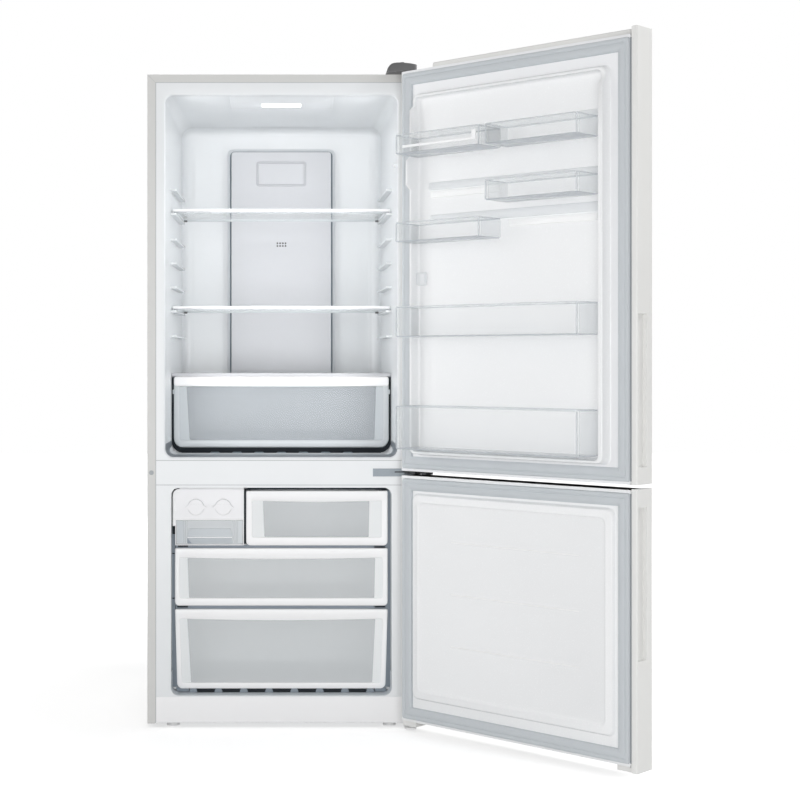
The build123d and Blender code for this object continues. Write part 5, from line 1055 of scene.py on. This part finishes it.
def ice_housing_crown():
    """The sloping band over the knobs, which closes the housing to the ceiling."""
    low, high = ([Vector((x, y, z)) * MM for x in (-277.5, -100.0)]
                 for y, z in ((Y_FREEZER + 0.6, 608.9), (Y_FREEZER + 5.4, 619.4)))
    near = low + high[::-1]
    bm = bmesh.new()
    skin_over(bm, [near, [point + Vector((0, 2.0 * MM, -1.0 * MM)) for point in near]])
    return bm


ice_maker_lip = blocks([(-278.6, -98.8, Y_FREEZER - 1.4, Y_FREEZER + 2.6, 537.6, 540.4)])
dress("ice_maker_housing", "cabinet", ICE_WHITE, 1.0, 2)
for piece_name, shape, finish, ease in (
        ("ice_maker_side_flange", ice_maker_side(), WHITE_ABS, 0.0),
        ("ice_maker_gap_line", ice_maker_gap(), BLACK_GAP_SHADE, 0.0),
        ("ice_maker_lip", ice_maker_lip, WHITE_ABS, 0.8),
        ("ice_maker_band", ice_housing_crown(), ICE_FRAME, 0.2)):
    new_piece(piece_name, shape, "cabinet", finish, ease, 2, nodes=("ice_maker_housing",))
new_piece("freezer_runner_moulding", behind_front_shade(), "cabinet", GREY_GAP_SHADE, 0.5, 1,
          nodes=("freezer_liner",))
new_piece("freezer_dark_gaps", black_gaps(), "cabinet", BLACK_GAP_SHADE, 0.3, 1,
          nodes=("freezer_liner",))
dress("left_ice_tray", "left_ice_tray", ICE_WHITE, 0.8, 2)
dress("right_ice_tray", "right_ice_tray", ICE_WHITE, 0.8, 2)


# ---- ice bin ----
def flat_shape(outline, y0, y1, inset=0.0):
    """A flat shape in the front plane, with a slight draft on its front face."""
    centre_x = sum(a for a, b in outline) / len(outline)
    centre_z = sum(b for a, b in outline) / len(outline)
    front = [(a + inset * (1 if a < centre_x else -1), b + inset * (1 if b < centre_z else -1))
             for a, b in outline]
    return loft([placed(front, at_front(y0)), placed(outline, at_front(y1))])


def ice_bin_pieces():
    x0, x1, y0, y1, z0, z1 = box("ice_bin")
    nodes = ("ice_bin",)
    grip0, grip1 = x0 + 28.5, x1 - 28.0
    shapes = (
        ("face", flat_shape(rounded(x0, x1, z0, z1, (5, 2, 2, 5), 4), y0 + 0.6, y0 + 3.4),
         ICE_CLEAR),
        ("left_strip", flat_shape([(x0 + 1.5, z0 + 3), (x0 + 20, z0 + 3), (x0 + 20, z1 - 1),
                                   (x0 + 1.5, z1 - 1)], y0 - 0.2, y0 + 1.0, 0.5), FROSTED_STRIP),
        ("right_strip", flat_shape([(x1 - 12.5, z0 + 3), (x1 - 1.0, z0 + 3), (x1 - 1.0, z1 - 1),
                                    (x1 - 12.5, z1 - 1)], y0 - 0.2, y0 + 1.0, 0.5), FROSTED),
        ("panel", flat_shape([(grip0 - 1, z0 + 18.5), (grip1 + 1, z0 + 18.5), (grip1 - 4, z0 + 41),
                              (grip0 + 5, z0 + 41)], y0 - 0.6, y0 + 1.0, 0.6), FROSTED_STRIP),
        ("ledge", flat_shape([(grip0, z0 + 16.8), (grip1, z0 + 16.8), (grip1, z0 + 19.2),
                              (grip0, z0 + 19.2)], y0 - 1.2, y0 + 1.0, 0.3), WHITE_ABS),
        ("grip_hollow", flat_shape([(grip0, z0 + 1.5), (grip1, z0 + 1.5), (grip1, z0 + 16.6),
                                    (grip0, z0 + 16.6)], y0 + 0.3, y0 + 1.2, 0.2), ICE_SHADE),
        ("grip_shadow", flat_shape([(grip0 + 0.6, z0 + 2), (grip0 + 12, z0 + 2),
                                    (grip0 + 0.6, z0 + 15.5)], y0 + 0.1, y0 + 0.8), GREY_GAP_SHADE))
    for part, shape, finish in shapes:
        new_piece("ice_bin_" + part, shape, "ice_bin", finish, nodes=nodes)
    ribs = blocks([(x - 0.7, x + 0.7, y0 - 0.5, y0 + 1.0, z0 + 3, z1 - 2)
                   for x in (x0 + 21.5, grip0 - 2.0, grip1 + 3.5, x1 - 14.0)])
    new_piece("ice_bin_front_ribs", ribs, "ice_bin", FROSTED, 0.3, 1, nodes=nodes)
    open_tub("ice_bin_tub", "ice_bin", (x0 + 4, x1 - 4, z0 + 1), z1 - 5, y0 + 3.0, y1, ICE_CLEAR,
             nodes, wall=2.5, foot=10.0, rear=10.0, lean=2.0)


ice_bin_pieces()


# ---- doors ----
SHEET_EDGE = (1.0, 681.2)  # the inner sheets' edges, as u


def door_rings(u0, u1, z0, z1, radius, profile):
    """Outlines on a door; each step of the profile moves in from the edges and along w."""
    return [placed(rounded(u0 + inset, u1 - inset, z0 + inset, z1 - inset,
                           max(radius - inset, 2.0), 10), door_front(w))
            for inset, w in profile]


def door_gasket(name, z0, z1):
    """The magnetic seal: two soft lips with a channel between them."""
    inset, end = 7.0, 681.0
    profile = [(0, 0.0), (0.4, 5.5), (1.5, 7.4), (3.5, 8.0), (8.0, 8.0), (9.4, 7.6), (10.2, 6.6),
               (11.4, 6.6), (12.2, 7.6), (13.6, 8.0), (23.0, 8.0), (25.0, 7.2), (27.0, 5.8),
               (29.4, 4.6), (29.9, 0.5), (31.0, 0.5), (31.0, 0.0)]
    bm = loft(door_rings(inset, end, z0 + inset, z1 - inset, 6.0, profile), closed=True)
    new_piece(name + "_seal", bm, name, SEAL, nodes=(name + "_gasket",))


for door_name, (door_low, door_high) in (("fridge_door", FRIDGE_DOOR_Z),
                                         ("freezer_door", FREEZER_DOOR_Z)):
    door_gasket(door_name, door_low, door_high)
    dress(door_name + "_skin", door_name, DOOR_PAINT, 0.5)
    dress(door_name + "_foam", door_name, FOAM, 0.0)
    dress(door_name + "_trim", door_name, CAP_ABS, 0.0)
    # A grey strip painting the shade in the gap between the seal and the edge strip.
    gap = blocks([(681.3, 683.9, -2.6, 1.2, door_low + 8, door_high - 8)], on_door)
    new_piece(door_name + "_strip_gap", gap, door_name, EDGE_GAP, 0.2, 1,
              nodes=(door_name + "_gasket",))


def door_ring(u0, u1, z0, z1, radius, w, steps=8):
    return placed(rounded(u0, u1, z0, z1, radius, steps), door_front(w))


DYKE = (50.0, 625.0, 720.0, 1634.0)
DYKE_HIGH, DYKE_LOW, DYKE_LOW_FROM = 30.0, 17.0, 1593.0
DYKE_PAD = (1403.0, 1464.0, 45.0)
DYKE_EASE = 12.0  # over which its height changes


def dyke_height(u, z):
    """The dyke is lower beside the lamp, and higher at the pad on its hinge side."""
    ease = min(max((z - DYKE_LOW_FROM) / DYKE_EASE, 0.0), 1.0)
    height = DYKE_HIGH + (DYKE_LOW - DYKE_HIGH) * ease
    low, high, pad = DYKE_PAD
    if u < DYKE[0] + 20:
        near = min(max((z - low + DYKE_EASE) / DYKE_EASE, 0.0),
                   max((high + DYKE_EASE - z) / DYKE_EASE, 0.0), 1.0)
        height += (pad - DYKE_HIGH) * max(near, 0.0)
    return height


def dyke_ring(out, radius, crest):
    """One outline round the dyke, with extra points where its height changes. out is one value
    or one for each side, and crest gives w from the dyke's height."""
    out = [out] * 4 if isinstance(out, (int, float)) else out
    u0, u1, z0, z1 = DYKE[0] - out[0], DYKE[1] + out[1], DYKE[2] - out[2], DYKE[3] + out[3]
    stops = (DYKE_PAD[0] - DYKE_EASE, DYKE_PAD[0], DYKE_PAD[1], DYKE_PAD[1] + DYKE_EASE,
             DYKE_LOW_FROM, DYKE_LOW_FROM + DYKE_EASE)
    corners = rounded(u0, u1, z0, z1, radius)
    one = len(corners) // 4
    points = (corners[:one] + [(u1, z) for z in stops] + corners[one:3 * one]
              + [(u0, z) for z in reversed(stops)] + corners[3 * one:])
    return [Vector(on_door(u, crest(dyke_height(u, z)), z)) * MM for u, z in points]


def fridge_door_liner(rim=False):
    """The vacuum-formed sheet: its flat rim, or the raised dyke and the field inside it."""
    edges = (DYKE[0] - SHEET_EDGE[0], SHEET_EDGE[1] - DYKE[1], DYKE[2] - FRIDGE_DOOR_Z[0],
             FRIDGE_DOOR_Z[1] - DYKE[3])
    if rim:
        return loft([dyke_ring(out, radius, lambda h, w=w: w) for out, radius, w in (
            (edges, 3.0, -2.4), (edges, 3.0, 0.0), (4.6, 18.0, 0.0), (4.6, 18.0, -2.4))],
            closed=True)
    rings = [dyke_ring(out, 18.0, lambda h, w=w: w)
             for out, w in ((4.6, -2.4), (4.6, 0.0), (3.4, 0.7), (2.6, 2.2))]
    r = 3.2
    for turn in quarter(4):
        into = r * (1 - math.cos(turn))
        rings.append(dyke_ring(-into, 16.0 - into,
                               lambda h, t=turn: h - r * (1 - math.sin(t))))
    for turn in quarter(4):
        out = 3.0 * (1 - math.sin(turn))
        rings.append(dyke_ring((-7 + out, -13 + out, -7 + out, -7 + out), 11.0 + out,
                               lambda h, t=turn: h - 3.0 * (1 - math.cos(t))))
    for turn in quarter(5):
        into = 8.0 * (1 - math.cos(turn))
        rings.append(dyke_ring((-7 - into, -13 - into, -7 - into, -7 - into), 11.0,
                               lambda h, t=turn: 8.0 * (1 - math.sin(t))))
    return loft(rings)


def door_rails(bands):
    """Bands pressed across the door's inner field, which the bins hang on."""
    bm = bmesh.new()
    for u0, u1, z0, z1, rise in bands:
        profile = ((0.0, -0.3), (0.9, rise * 0.7), (2.2, rise))
        skin_over(bm, [door_ring(u0 + i, u1 - i, z0 + i, z1 - i, 3.0, w, 4) for i, w in profile])
    return bm


RAILS = ((92, 596, 1523, 1541, 3.2), (92, 596, 1388, 1408, 3.2), (97, 596, 1303, 1326, 3.2),
         (56, 84, 1148, 1181, 9.5))
INSERTS = ((97, 318, 1368, 1386, 2.6), (341, 594, 1282, 1300, 2.6))


def freezer_panel(u0, u1, z0, z1):
    """The freezer door's sheet: a raised border with a shallow field inside it."""
    edge = SHEET_EDGE + FREEZER_DOOR_Z
    rings = [door_ring(*edge, 3.0, -3.0), door_ring(*edge, 3.0, 0.0)]
    for out, w in ((2.0, 0.0), (0.9, 0.5), (0.2, 1.6)):
        rings.append(door_ring(u0 - out, u1 + out, z0 - out, z1 + out, 18.0, w))
    for into, w in ((2.6, 6.2), (3.6, 7.9), (5.2, 8.8), (7.4, 9.0), (17.0, 9.0), (19.0, 9.9),
                    (21.6, 9.9), (23.4, 7.9), (24.6, 7.2)):
        rings.append(door_ring(u0 + into, u1 - into, z0 + into, z1 - into, 15.0, w))
    return loft(rings)


def pressed_lines():
    """Three fine ridges across the freezer door's field, whiter than the field: painted light
    against their dark shading.
    """
    bm = bmesh.new()
    for z in (502.0, 371.5, 241.0):
        skin_over(bm, [door_ring(168 + i, 548 - i, z - 1.7 + i, z + 1.7 - i, 0.6, w, 3)
                       for i, w in ((0.0, 7.1), (0.8, 7.35), (1.3, 7.4))])
    return bm


for piece_name, shape, body, finish in (
        ("fridge_door_inner_sheet", fridge_door_liner(), "fridge_door", DOOR_LINER),
        ("fridge_door_sheet_rim", fridge_door_liner(True), "fridge_door", DOOR_SHEET_RIM_SHADE),
        ("fridge_door_bin_rails", door_rails(RAILS), "fridge_door", RAIL_BAND_SHADE),
        ("fridge_door_rail_inserts", door_rails(INSERTS), "fridge_door", WHITE_BAND_AND_LIT_RIDGE),
        ("freezer_door_inner_sheet", freezer_panel(40.0, 641.0, 93.0, 617.0), "freezer_door",
         DOOR_LINER),
        ("freezer_door_ridges", pressed_lines(), "freezer_door", WHITE_BAND_AND_LIT_RIDGE)):
    new_piece(piece_name, shape, body, finish, nodes=(body + "_liner",),
              sharp=50)

# ---- door bins ----
BINS = {"top_left_bin": (58, 318.5, 1474, 49), "top_right_bin": (337.5, 598, 1474, 49),
        "middle_right_bin": (337.5, 598, 1340, 49), "middle_left_bin": (58, 318.5, 1254, 49),
        "wide_bin": (58, 598, 1016, 76), "bottle_bin": (58, 598, 735, 108)}


def door_bin(name, u0, u1, z0, height):
    """A clear tub with a thicker rim bead and thicker edges, which catch the light."""
    depth, back, wall, r = 94.0, 3.4, 2.6, 8.0
    top = z0 + height

    def plan(inset, z, radius):
        return placed(rounded(u0 + inset, u1 - inset, back + inset, depth - inset,
                              (r / 2, radius, radius, r / 2)), door_level(z))

    def front_path(inset, bend):
        """The front wall's face and its two rounded corners, left to right."""
        ring = rounded(u0 + inset, u1 - inset, depth - 14, depth - inset,
                       (0.01, bend, bend, 0.01), 6)
        return [ring[0]] + ring[7:21] + [ring[-1]]

    def front_wall(inset, z):
        return placed(front_path(inset, r) + front_path(wall, r - wall)[::-1], door_level(z))

    ends = blocks([(u - wall / 2, u + wall / 2, back, depth - 14.2, z0 + 2.9, top - 2.6)
                   for u in (u0 + wall / 2, u1 - wall / 2)], on_door)
    posts = bmesh.new()
    for u in (u0 + 1.2, u1 - 1.2):
        outline = [(u - 1.6, depth - 6.5), (u + 1.6, depth - 6.5), (u + 1.6, depth - 2.6),
                   (u - 1.6, depth - 2.6)]
        skin_over(posts, [placed(outline, door_level(z)) for z in (z0 + 2, top - 3)])
    add_block(posts, u0 + 5, u1 - 5, depth - 3.4, depth - 0.2, z0 - 0.3, z0 + 2.2, on_door)
    for part, shape, finish, ease in (
            ("_front_wall", loft([front_wall(0.0, z0 + 2.9), front_wall(0.0, top - 3.4),
                                  front_wall(0.4, top - 2.6)]), CLEAR, 0.0),
            ("_floor", loft([plan(3.0, z0, r - 2), plan(1.0, z0 + 0.8, r - 1),
                             plan(0.05, z0 + 2.5, r), plan(wall + 1, z0 + 2.9, r - 4)]),
             CLEAR_FLOOR, 0.0),
            ("_rim", loft([plan(-0.35, top - 2.4, r), plan(-0.35, top + 0.0, r),
                           plan(0.4, top + 0.4, r), plan(wall - 0.4, top + 0.4, r - 2),
                           plan(wall + 0.35, top, r - 2.6),
                           plan(wall + 0.35, top - 2.4, r - 2.6)], closed=True), CLEAR_EDGE, 0.0),
            ("_ends", ends, CLEAR_END, 0.0),
            ("_edges", posts, CLEAR_EDGE, 0.6)):
        new_piece(name + part, shape, name, finish, ease, nodes=(name,))


for bin_name, bin_size in BINS.items():
    door_bin(bin_name, *bin_size)


# The white bar inside the upper left bin, with its upright end.
white_front_bar = blocks([(79.0, 309.0, 88.0, 91.0, 1489.0, 1496.0),
                      (296.0, 309.0, 88.4, 91.2, 1489.0, 1514.0)], on_door)
new_piece("top_left_bin_bottle_stop", white_front_bar, "top_left_bin", WHITE_ABS, 1.2,
          nodes=("top_left_bin",))


# ---- floor, light and camera ----
def stage_material():
    """A matt floor that keeps the shadow near the object and turns white further out."""
    material, tree = new_material("white_studio_floor")
    diffuse = add(tree, "ShaderNodeBsdfDiffuse", Color=linear("#DCDCDC"))
    path = add(tree, "ShaderNodeLightPath")
    seen = add(tree, "ShaderNodeMath",
               {0: path.outputs["Is Camera Ray"], 1: path.outputs["Is Glossy Ray"]},
               operation="MAXIMUM")
    where = add(tree, "ShaderNodeTexCoord")
    away = add(tree, "ShaderNodeVectorMath", {0: where.outputs["Object"]}, operation="LENGTH")
    spread = add(tree, "ShaderNodeMapRange", {"Value": away.outputs["Value"]},
                 interpolation_type="SMOOTHSTEP", From_Min=0.6, From_Max=2.0, To_Min=0.56,
                 To_Max=1.0)
    lift = add(tree, "ShaderNodeMath", {0: seen.outputs["Value"], 1: spread.outputs["Result"]},
               operation="MULTIPLY")
    glow = add(tree, "ShaderNodeEmission", {"Strength": lift.outputs["Value"]})
    both = add(tree, "ShaderNodeAddShader",
               {0: diffuse.outputs["BSDF"], 1: glow.outputs["Emission"]})
    add(tree, "ShaderNodeOutputMaterial", {"Surface": both.outputs["Shader"]})
    return material


FLOOR_REACH = 12.0  # metres each way
floor_mesh = bpy.data.meshes.new("studio_floor")
floor_mesh.from_pydata([(x * FLOOR_REACH, y * FLOOR_REACH, 0)
                        for x, y in ((-1, -1), (1, -1), (1, 1), (-1, 1))], [], [(0, 1, 2, 3)])
floor = bpy.data.objects.new("studio_floor", floor_mesh)
bpy.context.scene.collection.objects.link(floor)
floor_mesh.materials.append(stage_material())

WORLD_LEVEL = 0.4  # what the world lights the object with; it looks white at a strength of 1
world = bpy.context.scene.world or bpy.data.worlds.new("studio")
bpy.context.scene.world = world
world.use_nodes = True
air = world.node_tree
air.nodes.clear()
path = add(air, "ShaderNodeLightPath")
direct = add(air, "ShaderNodeMath",
             {0: path.outputs["Is Camera Ray"], 1: path.outputs["Is Transmission Ray"]},
             operation="MAXIMUM")
level = add(air, "ShaderNodeMapRange", {"Value": direct.outputs["Value"]}, To_Min=WORLD_LEVEL,
            To_Max=1.0)
sky = add(air, "ShaderNodeBackground", {"Strength": level.outputs["Result"]},
          Color=(1.0, 1.0, 1.0, 1.0))
add(air, "ShaderNodeOutputWorld", {"Surface": sky.outputs["Background"]})


def softbox(name, place, aim, width, height, power, spread=180.0):
    """A rectangular lamp at a place, turned to what it lights; metres, watts and degrees."""
    light = bpy.data.lights.new(name, "AREA")
    light.shape = "RECTANGLE"
    light.size, light.size_y = width, height
    light.energy = power
    light.spread = math.radians(spread)
    lamp = bpy.data.objects.new(name, light)
    lamp.location = place
    lamp.rotation_euler = (Vector(aim) - Vector(place)).to_track_quat("-Z", "Y").to_euler()
    bpy.context.scene.collection.objects.link(lamp)


softbox("front_softbox", (0.0, -5.2, 0.6), (0.0, 0.0, 0.55), 4.0, 2.6, 129.0)
softbox("left_softbox", (-4.5, -1.2, 1.8), (0.0, 0.0, 0.8), 2.5, 2.5, 43.0)
softbox("right_softbox", (3.1, -0.95, 3.8), (0.8, -0.8, 2.0), 1.4, 1.4, 62.0)
softbox("fridge_lamp_light", (0.0, -0.16, 1.62), (0.0, -0.16, 1.0), 0.34, 0.16, 0.18)
for side in (-1, 1):
    softbox("fridge_side_fill_%d" % (side + 1), (side * 0.285, -0.312, 1.2),
            (-side * 0.3, -0.06, 1.2), 0.04, 0.84, 0.66, 110.0)
softbox("back_softbox", (0.0, 5.0, 2.2), (0.0, 0.0, 0.9), 3.0, 3.0, 60.0)

FOCAL_PIXELS, PICTURE, SENSOR = 1583.0, 800.0, 36.0
AXIS_X, AXIS_Y = 281.3, 362.0  # where the camera's axis meets the picture, in its pixels
camera_data = bpy.data.cameras.new("camera")
camera = bpy.data.objects.new("camera", camera_data)
bpy.context.scene.collection.objects.link(camera)
camera.location = (0.0, -4.450, 0.9534)
camera.rotation_euler = (math.radians(90), 0.0, 0.0)
camera_data.sensor_width = SENSOR
camera_data.lens = SENSOR * FOCAL_PIXELS / PICTURE
camera_data.shift_x = (PICTURE / 2 - AXIS_X) / PICTURE
camera_data.shift_y = (AXIS_Y - PICTURE / 2) / PICTURE
bpy.context.scene.camera = camera
bpy.context.scene.view_settings.view_transform = "Standard"
